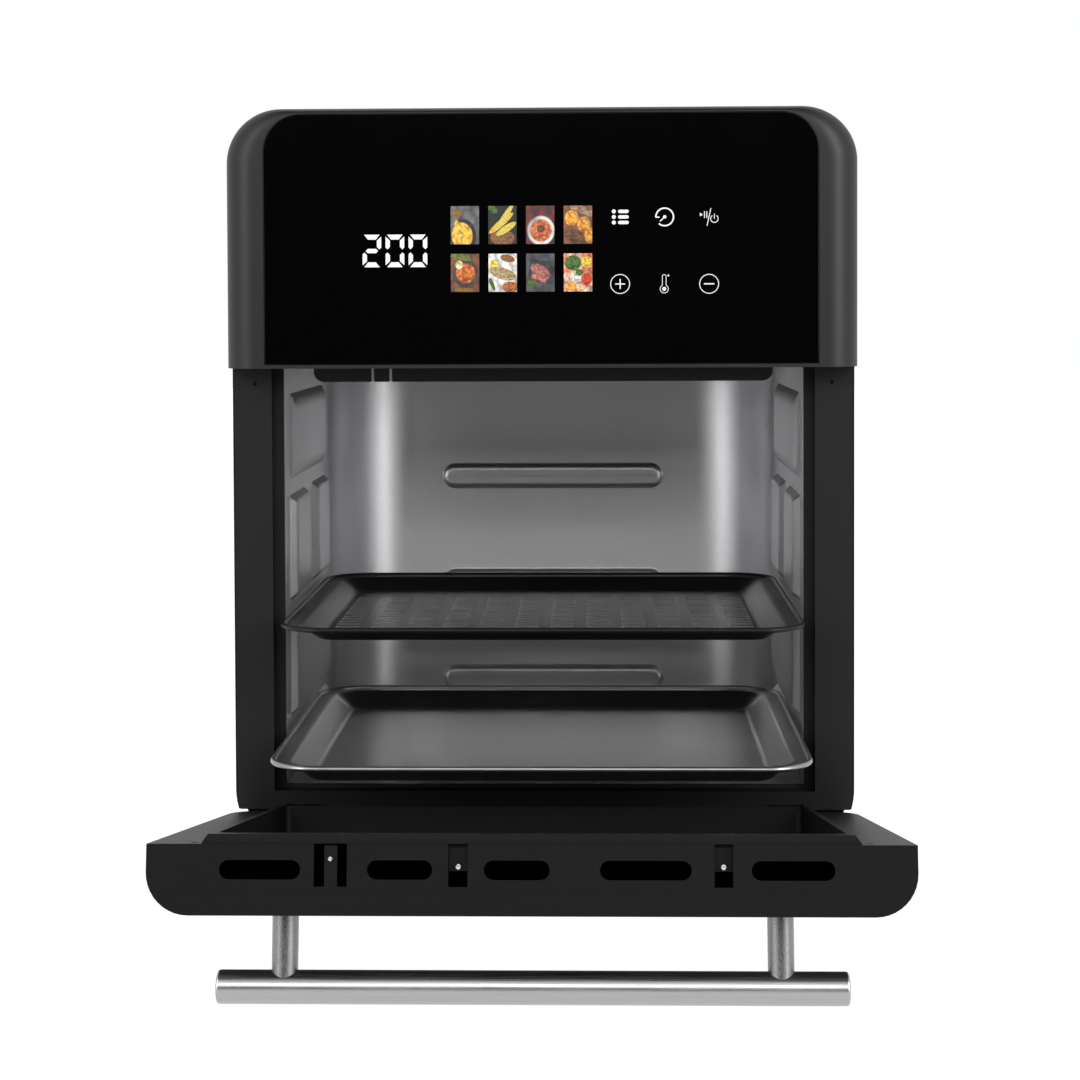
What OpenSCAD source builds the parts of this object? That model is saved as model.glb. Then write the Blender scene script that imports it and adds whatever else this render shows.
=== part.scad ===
// Upright countertop oven: a control head over a steel cavity, a drop-down door and two trays.
// Millimetres. X to the right, Y towards the back, Z up from the table.
// The door and the trays are drawn as they stand with the door let down.

/* [Body] */
// Width of the body and of the head
body_w = 324; // [322:1:330]
// Height from the table to the top of the head
overall_h = 402.4; // [400:0.2:412]
// Depth from the front plane of the body to the back of the shell
shell_d = 286; // [284:1:296]
// Height of the feet
foot_h = 10; // [8:0.5:12]
// Thickness of the painted steel sheet
sheet = 0.8; // [0.7:0.1:1.2]
// Radius of the upper corners seen from the front
top_r = 28; // [22:1:32]
// Radius of the lower corners seen from the front
bottom_r = 38; // [32:1:40]

/* [Head] */
// Height of the control head
head_h = 133; // [132:1:136]
// How far the head stands out in front of the body
head_out = 29.1; // [28:0.1:31]
// Depth of the moulded head behind the front plane
head_back = 62; // [56:1:66]
// Wall of the plastic mouldings
wall = 2.5; // [2:0.1:3]
// Rounding of the upright front edges of the head and the door
edge_r = 18; // [12:1:18]
// Width of the control glass
glass_w = 281.6; // [270:0.2:284]
// Height of the control glass
glass_h = 127; // [120:1:127]
// Radius of the upper corners of the control glass
glass_r = 19; // [12:1:22]
// Thickness of the control glass
glass_t = 3; // [2:0.5:3]

/* [Cavity] */
// Width between the plain side walls
cavity_w = 272.3; // [270:0.1:273]
// Back wall of the cavity, from the front plane
cavity_back = 256; // [250:1:257]
// Height of the cavity floor above the table
cavity_floor = 48.7; // [48:0.1:49]
// Radius of the upright back corners
cavity_r = 50; // [40:1:55]
// How far the tray supports stand in from the side walls
support_d = 4.15; // [3.5:0.05:5]
// Height of the lower tray's rim
level_low = 75; // [74.5:0.1:75.5]
// Height from one tray level to the next
level_pitch = 61.9; // [61.5:0.1:62.5]

/* [Trays] */
// Width of a tray over its rim
tray_w = 268.6; // [266:0.1:269]
// Depth of a tray over its rim
tray_d = 235; // [225:1:238]
// Corner radius of the rim
tray_r = 28; // [22:1:34]
// Width of the flat rim
tray_rim = 10; // [8:0.5:11]
// Depth of the lower pan below its rim
tray_deep = 9; // [7:0.5:10]
// Depth of the slotted pan below its rim
high_deep = 7; // [6:0.5:9]
// How far the lower tray is drawn out past the front plane
low_out = 87.3; // [0:0.1:88]
// How far the upper tray is drawn out past the front plane
high_out = 48; // [0:0.1:63]

/* [Door] */
// Width of the door
door_w = 323; // [321:0.5:323]
// Thickness of the door
door_t = 29.5; // [29:0.1:30]
// Lower edge of the shut door above the table
door_z0 = 16; // [15.5:0.1:17]
// Upper edge of the shut door above the table
door_z1 = 268; // [267:0.1:268]
// Angle that the door has swung down from shut
door_open = 80.45; // [0:0.05:81]
// Depth of the recess in the inner face
recess_d = 11.5; // [10:0.5:12]
// How far the collar round the recess stands out into the mouth
collar = 4; // [3:0.5:4]

/* [Handle] */
// Length of the handle bar
bar_l = 270.3; // [250:1:280]
// Diameter of the handle bar
bar_dia = 14.4; // [13:0.1:14.4]
// From the outer face of the door to the middle of the bar
bar_off = 32.7; // [30:0.1:32.7]
// Height of the bar above the table with the door shut
bar_z = 238.5; // [238:0.1:240]
// Spacing of the two posts
post_gap = 212.5; // [200:0.5:216]
// Diameter of the posts
post_dia = 11.4; // [10:0.1:12]

/* [Fan] */
// Distance of the fan axis behind the front plane
fan_y = 140; // [138:1:142]
// Radius of the air-moving fan
fan_r = 66; // [60:1:68]
// Number of blades on the air-moving fan
fan_blades = 10; // [6:1:12]

/* [Hidden] */
$fn = 64;
eps = 0.01;

// Door and hinge
seam = 0.5;                        // gap between the shut door and the front plane
door_y0 = -(seam + door_t);        // outer face of the shut door
hinge_y = -4;
hinge_z = 33.4;
pin_r = 2;
pin_play = 0.05;
arm_x = 126;
arm_t = 3;
knuckle_t = 5;
knuckle_r = 6.5;
pocket_x = 9.5;                    // half width of the pocket for a hinge
face_t = 9.4;                      // depth of the outer door moulding
face_y = door_y0 + face_t;
recess_w = 266;
recess_z0 = 52;
recess_z1 = 258.5;
pocket_z = 39.5;                   // upper end of the pocket for a hinge
window_edge = 13;
pane_t = 3.2;
gasket_t = 0.8;
pane_y = -seam - recess_d - 3.5 - gasket_t;

// The origin lies under the middle of everything that stands on the table
spacer_d = 8;
front_reach = -hinge_y + (seam + door_t + hinge_y) * cos(door_open) + (door_z1 - hinge_z) * sin(door_open);
front_y = (front_reach - shell_d - spacer_d) / 2;

// Head and body
head_z = overall_h - head_h;
plinth_y = 17;
plinth_z = 37.2;
lip_w = 10;                        // flat strip left at each lower edge of the shell
rim_d = 10;                        // depth of the step from the frame back to the liner
mouth_w = 283;
mouth_z0 = 46.8;
frame_top = 284;
liner_t = 0.7;
ceiling = 272;
dome_r = 112;
dome_h = 34;
dome_top = ceiling + dome_h + liner_t;
mat_t = 10;
shield_z = 318;
motor_z = 323;
motor_h = 32;
lead_top = 330;
coil_z = 281;
probe_z = 276.5;
coil_r = [80, 95];
coil_a = [20, 340];
tube_r = 3.25;
board_z = 330;
duct_w = 60;
duct_z = [279, 300];
gland_x = 112;
gland_z = 330;

// Trays
slot_cols = 12;
slot_rows = 14;
slot_pitch_x = 19;
slot_pitch_y = 9.8;
slot_size = [13, 4];
tray_t = 1;
slope = 11;

// Places in the body
module in_body() translate([0, front_y, 0]) children();

// Swings a piece of the shut door down to where it hangs
module in_door() in_body()
    translate([0, hinge_y, hinge_z]) rotate([door_open, 0, 0]) translate([0, -hinge_y, -hinge_z]) children();

// A block between two corners
module block(low, high) translate(low) cube(high - low);

// The same block on the left and on the right
module both_sides(low, high) {
    block(low, high);
    block([-high[0], low[1], low[2]], [-low[0], high[1], high[2]]);
}

// An outline seen from the front, given depth from y0 to y1
module along_y(y0, y1) translate([0, y1, 0]) rotate([90, 0, 0]) linear_extrude(y1 - y0) children();

// An outline seen from the side, given width from x0 to x1
module along_x(x0, x1) translate([x0, 0, 0]) rotate([90, 0, 90]) linear_extrude(x1 - x0) children();

// A rod from one end to the other along each axis
module rod_x(x0, x1, r) translate([x0, 0, 0]) rotate([0, 90, 0]) cylinder(r = r, h = x1 - x0);
module rod_y(y0, y1, r) translate([0, y1, 0]) rotate([90, 0, 0]) cylinder(r = r, h = y1 - y0);
module rod_z(z0, z1, r) translate([0, 0, z0]) cylinder(r = r, h = z1 - z0);

// Front view of the whole oven
module front_outline(inset = 0) hull() for (side = [-1, 1]) {
    translate([side * (body_w / 2 - bottom_r), foot_h + bottom_r]) circle(bottom_r - inset, $fn = 128);
    translate([side * (body_w / 2 - top_r), overall_h - top_r]) circle(top_r - inset, $fn = 128);
}

// Top view with the two front corners rounded
module plan_outline(width, front, back, r, inset = 0) hull() {
    for (side = [-1, 1]) translate([side * (width / 2 - r), front + r]) circle(r - inset, $fn = 96);
    translate([-(width / 2 - inset), back - 1]) square([width - 2 * inset, 1]);
}

module rounded(size, r) hull() for (x = [-1, 1], y = [-1, 1])
    translate([x * (size[0] / 2 - r), y * (size[1] / 2 - r)]) circle(r);

// ---- Body ----

base_half = body_w / 2 - bottom_r - lip_w;
flange_w = 12;

module outer_shell() color([0.09, 0.09, 0.095]) in_body() difference() {
    union() {
        along_y(seam, shell_d) difference() {
            front_outline();
            front_outline(sheet);
        }
        along_y(shell_d - 2 * sheet, shell_d - sheet) difference() {
            front_outline(sheet / 2);
            front_outline(flange_w);
        }
    }
    for (at = rear_fixings) translate([at[0], 0, at[1]]) rod_y(shell_d - 20, shell_d + 1, 1.6);
    block([-body_w, -eps, head_z], [body_w, head_back, overall_h + 1]);
    block([-body_w, -eps, 0], [body_w, plinth_y + 1.5, plinth_z]);
    block([-base_half, -eps, 0], [base_half, shell_d + 1, foot_h + 20]);
    for (i = [0:8]) block([-body_w, 196, 302 + 8 * i], [body_w, 262, 305 + 8 * i]);
}

module base_plate() color([0.55, 0.56, 0.57]) in_body() difference() {
    union() {
        block([-base_half - lip_w + 1, plinth_y, foot_h + sheet],
            [base_half + lip_w - 1, shell_d - 3, foot_h + 2 * sheet]);
        block([-base_half - lip_w + 1, plinth_y, foot_h + sheet],
            [base_half + lip_w - 1, plinth_y + 1.5, plinth_z]);
    }
    both_sides([arm_x - arm_t / 2 - 0.6, 0, 28], [arm_x + arm_t / 2 + 0.6, 30, plinth_z + 1]);
    for (x = [-110, 110], y = [45, 250]) translate([x, y, 0]) rod_z(0, 40, 2.3);
    for (x = [-70:20:70], y = [110, 190]) block([x - 3, y, 0], [x + 3, y + 34, 40]);
}

module rear_cover() color([0.09, 0.09, 0.095]) in_body() difference() {
    along_y(shell_d - sheet, shell_d) front_outline(sheet + 0.15);
    for (i = [0:4]) block([-28, 0, duct_z[0] + 1 + 4 * i], [28, shell_d + 1, duct_z[0] + 3 + 4 * i]);
    for (col = [-1, 0], i = [0:5])
        block([-74 + col * 54, 0, 318 + 9 * i], [-26 + col * 54, shell_d + 1, 322 + 9 * i]);
    translate([gland_x, 0, gland_z]) rod_y(shell_d - 20, shell_d + 1, 8);
    for (at = rear_fixings) translate([at[0], 0, at[1]]) rod_y(shell_d - 20, shell_d + 1, 1.6);
}

// Screws along both edges of the rear cover, nearer the middle where the corners are round
rear_fixings = [for (side = [-1, 1], z = [70, 180, 292, 394]) [side * (z > 300 ? 110 : 154), z]];

module head_form(inset = 0) intersection() {
    along_y(-head_out + inset, head_back) front_outline(inset);
    translate([0, 0, head_z]) linear_extrude(head_h) plan_outline(body_w, -head_out, head_back, edge_r, inset);
}

module glass_outline(gap = 0) hull() {
    for (side = [-1, 1]) translate([side * (glass_w / 2 - glass_r), head_z + 2 + glass_h - glass_r])
        circle(glass_r + gap, $fn = 96);
    translate([-glass_w / 2 - gap, head_z + 2 - gap]) square([glass_w + 2 * gap, 10]);
}

board_posts = [for (x = [-104, 104], z = [288, 376]) [x, z]];

module head_housing() color([0.13, 0.13, 0.135]) in_body() {
    difference() {
        head_form();
        intersection() {
            translate([0, 0, head_z + wall]) linear_extrude(head_h)
                plan_outline(body_w, -head_out + glass_t, head_back + 2, edge_r, wall);
            along_y(-head_out + glass_t + wall, head_back + 1) front_outline(wall);
        }
        block([-(body_w / 2 - wall), -0.2, head_z - 1], [body_w / 2 - wall, head_back + 1, head_z + wall + 1]);
        along_y(-head_out - 1, -head_out + glass_t) glass_outline(0.2);
        block([-98, -head_out, 282], [98, 0, 372]);
    }
    for (at = board_posts) translate([at[0], 0, at[1]]) difference() {
        rod_y(-head_out + glass_t + wall - 0.5, -14, 4);
        rod_y(-20, -13, 1.4);
    }
}

module control_glass() color([0.01, 0.01, 0.012]) in_body()
    along_y(-head_out, -head_out + glass_t) glass_outline();

module display_module() color([0.2, 0.2, 0.22]) in_body()
    block([-96, -head_out + glass_t + 0.3, 286], [34, -16, 348]);

module touch_board() color([0.05, 0.3, 0.15]) in_body() {
    difference() {
        block([-110, -14, 282], [110, -12.4, 382]);
        for (at = board_posts) translate([at[0], 0, at[1]]) rod_y(-20, 0, 1.6);
    }
    block([-110, -12.4, 300], [-94, -8, 322]);
    for (x = [-40:20:40]) block([x, -12.4, 330], [x + 10, -10, 340]);
}

module board_screws() color("silver") in_body() for (at = board_posts) translate([at[0], 0, at[1]]) {
    rod_y(-18, -12.4, 1.35);
    rod_y(-12.4, -10.4, 3);
}

module power_board() color([0.75, 0.65, 0.35]) in_body() {
    block([-148, 84, board_z], [-62, 236, board_z + 1.6]);
    for (x = [-142, -68], y = [92, 228]) translate([x, y, 0]) rod_z(shield_z + 1, board_z, 3);
    block([-140, 100, board_z + 1.6], [-112, 122, board_z + 18]);
    block([-140, 130, board_z + 1.6], [-112, 152, board_z + 18]);
    block([-104, 104, board_z + 1.6], [-70, 140, board_z + 30]);
    translate([-90, 170, 0]) rod_z(board_z + 1.6, board_z + 28, 9);
    translate([-120, 180, 0]) rod_z(board_z + 1.6, board_z + 20, 6);
    block([-140, 206, board_z + 1.6], [-100, 216, board_z + 14]);
}

module ribbon_cable() color([0.6, 0.6, 0.62]) in_body() {
    block([-110, -8, 306], [-94, -7, 345]);
    block([-110, -8, 344], [-94, 92, 345]);
    block([-110, 91, board_z + 1.6], [-94, 92, 345]);
}

module front_frame() color([0.03, 0.03, 0.032]) in_body() difference() {
    union() {
        intersection() {
            along_y(0, 3) front_outline(sheet + 0.15);
            block([-body_w, -1, plinth_z], [body_w, 4, head_z]);
        }
        block([-150, 0, head_z - 1], [150, 3, frame_top]);
        block([-(mouth_w / 2 + 2), 0, mouth_z0 - 2], [mouth_w / 2 + 2, rim_d, head_z]);
        block([-140, 0, plinth_z], [140, plinth_y + 1.5, plinth_z + 2]);
    }
    block([-mouth_w / 2, -1, mouth_z0], [mouth_w / 2, rim_d - 2, head_z + 0.4]);
    block([-cavity_w / 2 - 0.2, -1, cavity_floor], [cavity_w / 2 + 0.2, rim_d + 1, head_z + 0.4]);
    both_sides([arm_x - pocket_x, -1, plinth_z - 1], [arm_x + pocket_x, 4, pocket_z + 0.5]);
    for (at = frame_fixings) translate([at[0], 0, at[1]]) rod_y(-1, 4, 1.6);
}

// Two small screws, sunk in the face of the frame just under the head
frame_fixings = [for (side = [-1, 1]) [side * 150, 260.8]];

module frame_screws() color([0.05, 0.05, 0.05]) in_body() for (at = frame_fixings)
    translate([at[0], 0, at[1]]) {
        rod_y(0.6, 9, 1.5);
    }

module steam_baffle() color([0.02, 0.02, 0.02]) in_body() difference() {
    union() {
        along_y(5, 8) hull() {
            for (side = [-1, 1]) translate([side * 114.6, 266.8]) circle(5.4);
            translate([-120, 275]) square([240, 7]);
        }
        block([-120, 3.1, head_z + 1], [120, 5, 282]);
    }
    for (x = prongs) block([x - 0.9, 4, 260], [x + 0.9, 9, 268.6]);
}

prongs = [-89, -79.6];

module door_switch() color([0.6, 0.6, 0.62]) in_body() {
    block([-94, 8.1, 273.5], [-75, 18, 290]);
    for (x = prongs) block([x - 0.6, 4.6, 261.8], [x + 0.6, 9.5, 268.3]);
    for (x = prongs) block([x - 0.6, 8.1, 261.8], [x + 0.6, 9.5, 275]);
}

// ---- Cavity ----

module liner_plan(inset) hull() {
    for (side = [-1, 1]) translate([side * (cavity_w / 2 - cavity_r), cavity_back - cavity_r])
        circle(cavity_r - inset, $fn = 96);
    translate([-(cavity_w / 2 - inset), rim_d + 0.1]) square([cavity_w - 2 * inset, 1]);
}

// One pressed support with sloping ends
module support(y0, y1, z0, z1) for (side = [-1, 1])
    translate([0, 0, z0]) linear_extrude(z1 - z0)
        polygon([for (p = [[0.5, y0], [-support_d, y0 + 6], [-support_d, y1 - 6], [0.5, y1]])
            [side * (cavity_w / 2 + p[0]), p[1]]]);

module cavity_liner() color([0.72, 0.73, 0.74]) in_body() difference() {
    union() {
        difference() {
            translate([0, 0, cavity_floor - liner_t]) linear_extrude(ceiling - cavity_floor + liner_t)
                liner_plan(-liner_t);
            linear_extrude(ceiling + 1) liner_plan(0);
            block([-cavity_w / 2, 0, 0], [cavity_w / 2, 20, ceiling + 1]);
        }
        along_y(rim_d + 0.1, rim_d + 0.1 + liner_t) difference() {
            translate([-150, 40]) square([300, ceiling - 40]);
            translate([-cavity_w / 2, cavity_floor - liner_t]) square([cavity_w, ceiling]);
        }
        support(27, 173, level_low + 2 * level_pitch + 9, 254);
        for (y = [[27, 88], [119, 178]])
            support(y[0], y[1], level_low + level_pitch + 7, level_low + 2 * level_pitch - 0.3);
        support(27, 178, level_low + 7, level_low + level_pitch - 0.3);
        support(27, 178, cavity_floor + 3, level_low - 0.3);
        for (z = [193, 126, 64.5]) along_y(cavity_back - 5, cavity_back + 0.5) {
            translate([-62, z - 8]) square([124, 16]);
            for (side = [-1, 1]) translate([side * 62, z]) circle(8);
        }
    }
}

module floor_pan() color([0.72, 0.73, 0.74]) in_body()
    translate([0, 0, cavity_floor - liner_t]) linear_extrude(liner_t) liner_plan(0);

module at_fan() translate([0, fan_y, 0]) children();

// A turn to an angle round the fan axis, at a radius
module spoke(angle, r) at_fan() rotate([0, 0, angle]) translate([r, 0, 0]) children();

module cavity_top() color([0.66, 0.67, 0.68]) in_body() difference() {
    union() {
        translate([0, 0, ceiling]) linear_extrude(liner_t) liner_plan(-liner_t);
        at_fan() rod_z(ceiling, dome_top, dome_r + liner_t);
    }
    at_fan() rod_z(ceiling - 1, ceiling + dome_h, dome_r);
    at_fan() rod_z(ceiling, dome_top + 1, 6);
    for (r = coil_r) spoke(coil_a[0], r) rod_z(ceiling, dome_top + 1, 4);
    spoke(-60, dome_r - 5) translate([0, 0, probe_z]) rod_x(0, 10, 2);
    block([-duct_w / 2 + 1, fan_y, duct_z[0] + 1], [duct_w / 2 - 1, cavity_back + 5, duct_z[1] - 1]);
    at_fan() translate([-30, 62, 0]) rod_z(ceiling, dome_top + 1, 3);
}

module heater_guard() color([0.6, 0.6, 0.62]) in_body() at_fan() {
    for (r = [18:14:102]) difference() {
        rod_z(ceiling - 2, ceiling, r + 1);
        rod_z(ceiling - 3, ceiling + 1, r - 1);
    }
    for (angle = [0:45:135]) rotate([0, 0, angle]) difference() {
        block([-114, -1.5, ceiling - 2], [114, 1.5, ceiling]);
        block([-17.5, -3, ceiling - 3], [17.5, 3, ceiling + 1]);
    }
    rod_z(ceiling - 2, ceiling, 8);
    for (angle = [0, 90]) rotate([0, 0, angle]) block([-18, -1.5, ceiling - 2], [18, 1.5, ceiling]);
}

module heating_coil() color([0.35, 0.33, 0.32]) in_body() {
    for (r = coil_r) {
        at_fan() translate([0, 0, coil_z]) rotate([0, 0, coil_a[0]])
            rotate_extrude(angle = coil_a[1] - coil_a[0], $fn = 96) translate([r, 0]) circle(tube_r, $fn = 24);
        spoke(coil_a[0], r) rod_z(coil_z, lead_top, tube_r);
        spoke(coil_a[0], r) translate([0, 0, coil_z]) sphere(tube_r);
    }
    spoke(coil_a[1], (coil_r[0] + coil_r[1]) / 2) translate([0, 0, coil_z])
        rotate_extrude(angle = 180, $fn = 96) translate([(coil_r[1] - coil_r[0]) / 2, 0]) circle(tube_r, $fn = 24);
}

module heater_clips() color([0.7, 0.7, 0.7]) in_body() for (angle = [80, 180, 280])
    at_fan() rotate([0, 0, angle]) difference() {
        union() {
            block([72, -0.75, 276.5], [103, 0.75, ceiling + dome_h]);
            block([72, -8, ceiling + dome_h - 1], [103, 8, ceiling + dome_h]);
        }
        for (r = coil_r) translate([r, 0, coil_z]) rod_y(-10, 10, tube_r + 0.15);
    }

module heater_bushes() color([0.9, 0.88, 0.82]) in_body() for (r = coil_r)
    spoke(coil_a[0], r) difference() {
        union() {
            rod_z(dome_top, dome_top + 5, 6.5);
            rod_z(ceiling + dome_h - 2, dome_top, 3.95);
        }
        rod_z(ceiling, 400, tube_r + 0.05);
    }

module insulation_mat() color([0.85, 0.82, 0.7]) in_body() difference() {
    at_fan() rod_z(dome_top, dome_top + mat_t, 106);
    at_fan() rod_z(dome_top - 1, 400, 14);
    for (r = coil_r) spoke(coil_a[0], r) rod_z(dome_top - 1, 400, 7);
    at_fan() translate([-30, 62, 0]) rod_z(dome_top - 1, 400, 12);
}

module heat_shield() color([0.75, 0.76, 0.77]) in_body() difference() {
    union() {
        block([-152, 66, shield_z], [152, 278, shield_z + 1]);
        both_sides([151, 66, shield_z - 14], [152, 278, shield_z]);
    }
    at_fan() rod_z(300, 400, 14);
    for (r = coil_r) spoke(coil_a[0], r) rod_z(300, 400, 6);
    for (x = [-20, 20]) block([x - 8, 262, 300], [x + 8, 270, 330]);
}

// Four legs round the fan axis
module legs(radius, z0, z1, r) for (angle = [45:90:315]) spoke(angle, radius) rod_z(z0, z1, r);

module motor_bracket() color([0.7, 0.71, 0.72]) in_body() {
    difference() {
        at_fan() rod_z(motor_z - 1.5, motor_z, 44);
        at_fan() rod_z(motor_z - 3, motor_z + 1, 12);
    }
    legs(38, shield_z + 1, motor_z - 1.5, 4);
}

module fan_motor() color([0.5, 0.5, 0.52]) in_body() difference() {
    at_fan() {
        rod_z(motor_z, motor_z + motor_h, 30);
        rod_z(motor_z + 6, motor_z + motor_h - 8, 33);
        rod_z(motor_z + motor_h, motor_z + motor_h + 2, 8);
    }
    at_fan() rod_z(motor_z - 1, motor_z + motor_h + 3, 4 + pin_play);
}

module motor_shaft() color("silver") in_body() at_fan() rod_z(284, 376, 4);

// Flat blades standing between two radii
module blades(count, r0, r1, z0, z1, t) for (i = [0:count - 1])
    at_fan() rotate([0, 0, i * 360 / count]) block([r0, -t / 2, z0], [r1, t / 2, z1]);

module convection_fan() color([0.8, 0.8, 0.82]) in_body() {
    difference() {
        at_fan() {
            rod_z(286, 304, 10);
            rod_z(302, 303.2, fan_r - 2);
        }
        at_fan() rod_z(285, 305, 4);
    }
    blades(fan_blades, 9, fan_r, 289, 302.5, 1.2);
}

module cooling_fan() color([0.85, 0.85, 0.86]) in_body() {
    difference() {
        at_fan() {
            rod_z(360, 372, 11);
            rod_z(360, 361, 40);
        }
        at_fan() rod_z(355, 375, 4);
    }
    blades(8, 10, 45, 360.5, 371, 1.2);
}

module air_guide() color([0.7, 0.71, 0.72]) in_body() {
    at_fan() difference() {
        rod_z(357, 376, 51);
        rod_z(350, 380, 49);
    }
    legs(50.5, shield_z + 1, 357.5, 2.5);
}

module exhaust_duct() color([0.7, 0.7, 0.72]) in_body() difference() {
    block([-duct_w / 2, 252.2, duct_z[0]], [duct_w / 2, shell_d - sheet, duct_z[1]]);
    block([-duct_w / 2 + 1, 200, duct_z[0] + 1], [duct_w / 2 - 1, shell_d, duct_z[1] - 1]);
    at_fan() rod_z(270, 310, dome_r + liner_t);
}

module temperature_probe() color("silver") in_body() spoke(-60, 100) translate([0, 0, probe_z]) {
    rod_x(0, 26, 1.8);
    rod_x(dome_r + liner_t - 99.9, 22, 3.2);
}

module thermal_cutout() color([0.9, 0.9, 0.88]) in_body() at_fan() translate([-30, 62, 0]) {
    rod_z(dome_top, dome_top + 2, 10);
    rod_z(dome_top, dome_top + 9, 7);
}

module terminal_block() color([0.92, 0.92, 0.9]) in_body() difference() {
    block([84, 226, shield_z + 1], [140, 250, shield_z + 17]);
    for (x = [91:10.5:133]) translate([x, 238, 0]) rod_z(shield_z + 8, shield_z + 20, 3);
}

module cord_gland() color([0.03, 0.03, 0.03]) in_body() translate([gland_x, 0, gland_z]) difference() {
    union() {
        rod_y(shell_d - 12, shell_d, 7.8);
        rod_y(shell_d, shell_d + 4, 11);
        rod_y(shell_d - 6, shell_d - sheet, 11);
    }
    rod_y(shell_d - 20, shell_d + 10, 4);
}

module rear_spacers() color([0.04, 0.04, 0.04]) in_body() for (x = [-118, 118])
    translate([x, 0, 230]) {
        rod_y(shell_d, shell_d + spacer_d - 3, 9);
        rod_y(shell_d + spacer_d - 3, shell_d + spacer_d, 12);
    }

module rear_screws() color("silver") in_body() for (at = rear_fixings) translate([at[0], 0, at[1]]) {
    rod_y(shell_d, shell_d + 1.8, 3.2);
    rod_y(shell_d - 9, shell_d, 1.55);
}

foot_places = [for (x = [-110, 110], y = [45, 250]) [x, y, 0]];

module feet() color([0.03, 0.03, 0.03]) in_body() for (at = foot_places) translate(at) difference() {
    rod_z(2, foot_h, 12);
    rod_z(4, foot_h + 3, 2.3);
    rod_z(1, 6, 5);
}

module foot_pads() color([0.1, 0.1, 0.1]) in_body() for (at = foot_places) translate(at) difference() {
    rod_z(0, 2, 12);
    rod_z(-1, 3, 5);
}

module foot_screws() color("silver") in_body() for (at = foot_places) translate(at) {
    rod_z(4, 6, 4);
    rod_z(5, foot_h + 8, 2.2);
}

module hinge_arms() color([0.6, 0.61, 0.62]) in_body() for (side = [-1, 1]) difference() {
    along_x(side * arm_x - arm_t / 2, side * arm_x + arm_t / 2) {
        translate([hinge_y, hinge_z]) circle(5);
        translate([hinge_y, 29]) square([44, 6.4]);
        translate([28, foot_h + 2 * sheet]) square([12, 23]);
    }
    translate([0, hinge_y, hinge_z]) rod_x(-body_w, body_w, pin_r + 0.02);
}

module hinge_pins() color("silver") in_body() for (side = [-1, 1])
    translate([side * arm_x, hinge_y, hinge_z]) rod_x(-8.5, 8.5, pin_r);

module door_stops() color([0.05, 0.05, 0.05]) in_body() for (x = [-70, 70])
    translate([x, 0, 24]) rod_y(13.2, plinth_y, 4);

// ---- Door, drawn shut ----

module door_form(y0, y1, inset = 0) intersection() {
    along_y(y0, y1) hull() {
        for (side = [-1, 1]) translate([side * (door_w / 2 - bottom_r), door_z0 + bottom_r])
            circle(bottom_r - inset, $fn = 128);
        translate([-door_w / 2 + inset, door_z1 - inset - 10]) square([door_w - 2 * inset, 10]);
    }
    linear_extrude(door_z1 + 1) plan_outline(door_w, door_y0, 5, edge_r, inset);
}

// Five open slots along the upper edge: middle and length of each
vents = [[-113.6, 34.2], [-54.8, 27.3], [-5.7, 27.6], [48.2, 38.3], [109.7, 34.8]];
// Pockets for the screws in the upper edge: left and right end of each
edge_pockets = [[-90.8, -76.9], [-34.4, -26.3], [76.8, 84.5]];

// A frame with sloping outer sides that stands out round the recess
module recess_collar() {
    half = recess_w / 2 + 3;
    hull() {
        block([-half - 3, -seam - eps, recess_z0 - 4.6], [half + 3, -seam, recess_z1 + 7]);
        block([-half, collar - seam - eps, recess_z0 - 3], [half, collar - seam, recess_z1 + 3]);
    }
}

module door_frame() color([0.035, 0.035, 0.038]) in_door() {
    difference() {
        union() {
            door_form(face_y, -seam);
            recess_collar();
        }
        difference() {
            door_form(face_y - 1, -seam - wall, wall);
            block([-recess_w / 2 - wall, -seam - recess_d - 3.5, recess_z0 - wall],
                [recess_w / 2 + wall, 0, recess_z1 + wall]);
        }
        block([-recess_w / 2, -seam - recess_d, recess_z0], [recess_w / 2, 9, recess_z1]);
        block([-recess_w / 2 + window_edge, -25, recess_z0 + window_edge],
            [recess_w / 2 - window_edge, 1, recess_z1 - window_edge]);
        for (v = vents) translate([v[0], -seam - 10.6, door_z1 - 6]) {
            for (side = [-1, 1]) translate([side * (v[1] / 2 - 4), 0, 0]) cylinder(r = 4, h = 8);
            translate([-(v[1] / 2 - 4), -4, 0]) cube([v[1] - 8, 8, 8]);
        }
        for (p = edge_pockets) block([p[0], -seam - 17.5, door_z1 - 5], [p[1], 9, door_z1 + 1]);
        both_sides([arm_x - pocket_x, -14, door_z0 + wall], [arm_x + pocket_x, 1, pocket_z]);
        both_sides([arm_x - arm_t, -12, 0], [arm_x + arm_t, 1, door_z0 + wall + 1]);
    }
    for (p = edge_pockets) difference() {
        union() {
            block([p[0] - 1, -seam - 18.5, door_z1 - 7], [p[1] + 1, -seam - wall + 0.5, door_z1 - 5]);
            block([p[0] - 0.5, -seam - 11.2, door_z1 - 6], [p[1] + 0.5, -seam - wall + 0.5, door_z1 - 3]);
        }
        translate([(p[0] + p[1]) / 2, -seam - 9.4, 0]) rod_z(door_z1 - 8, door_z1, 1.1);
    }
    block([edge_pockets[0][0] + 4.6, -seam - 18, door_z1 - 6], [edge_pockets[0][1] - 4.6, -seam - 11, door_z1 - 0.6]);
}

module glass_gasket() color([0.08, 0.08, 0.08]) in_door() difference() {
    block([-recess_w / 2 + 7, -seam - recess_d - 3.5 - gasket_t, recess_z0 + 7],
        [recess_w / 2 - 7, -seam - recess_d - 3.5, recess_z1 - 7]);
    block([-recess_w / 2 + window_edge, -40, recess_z0 + window_edge],
        [recess_w / 2 - window_edge, 1, recess_z1 - window_edge]);
}

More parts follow.
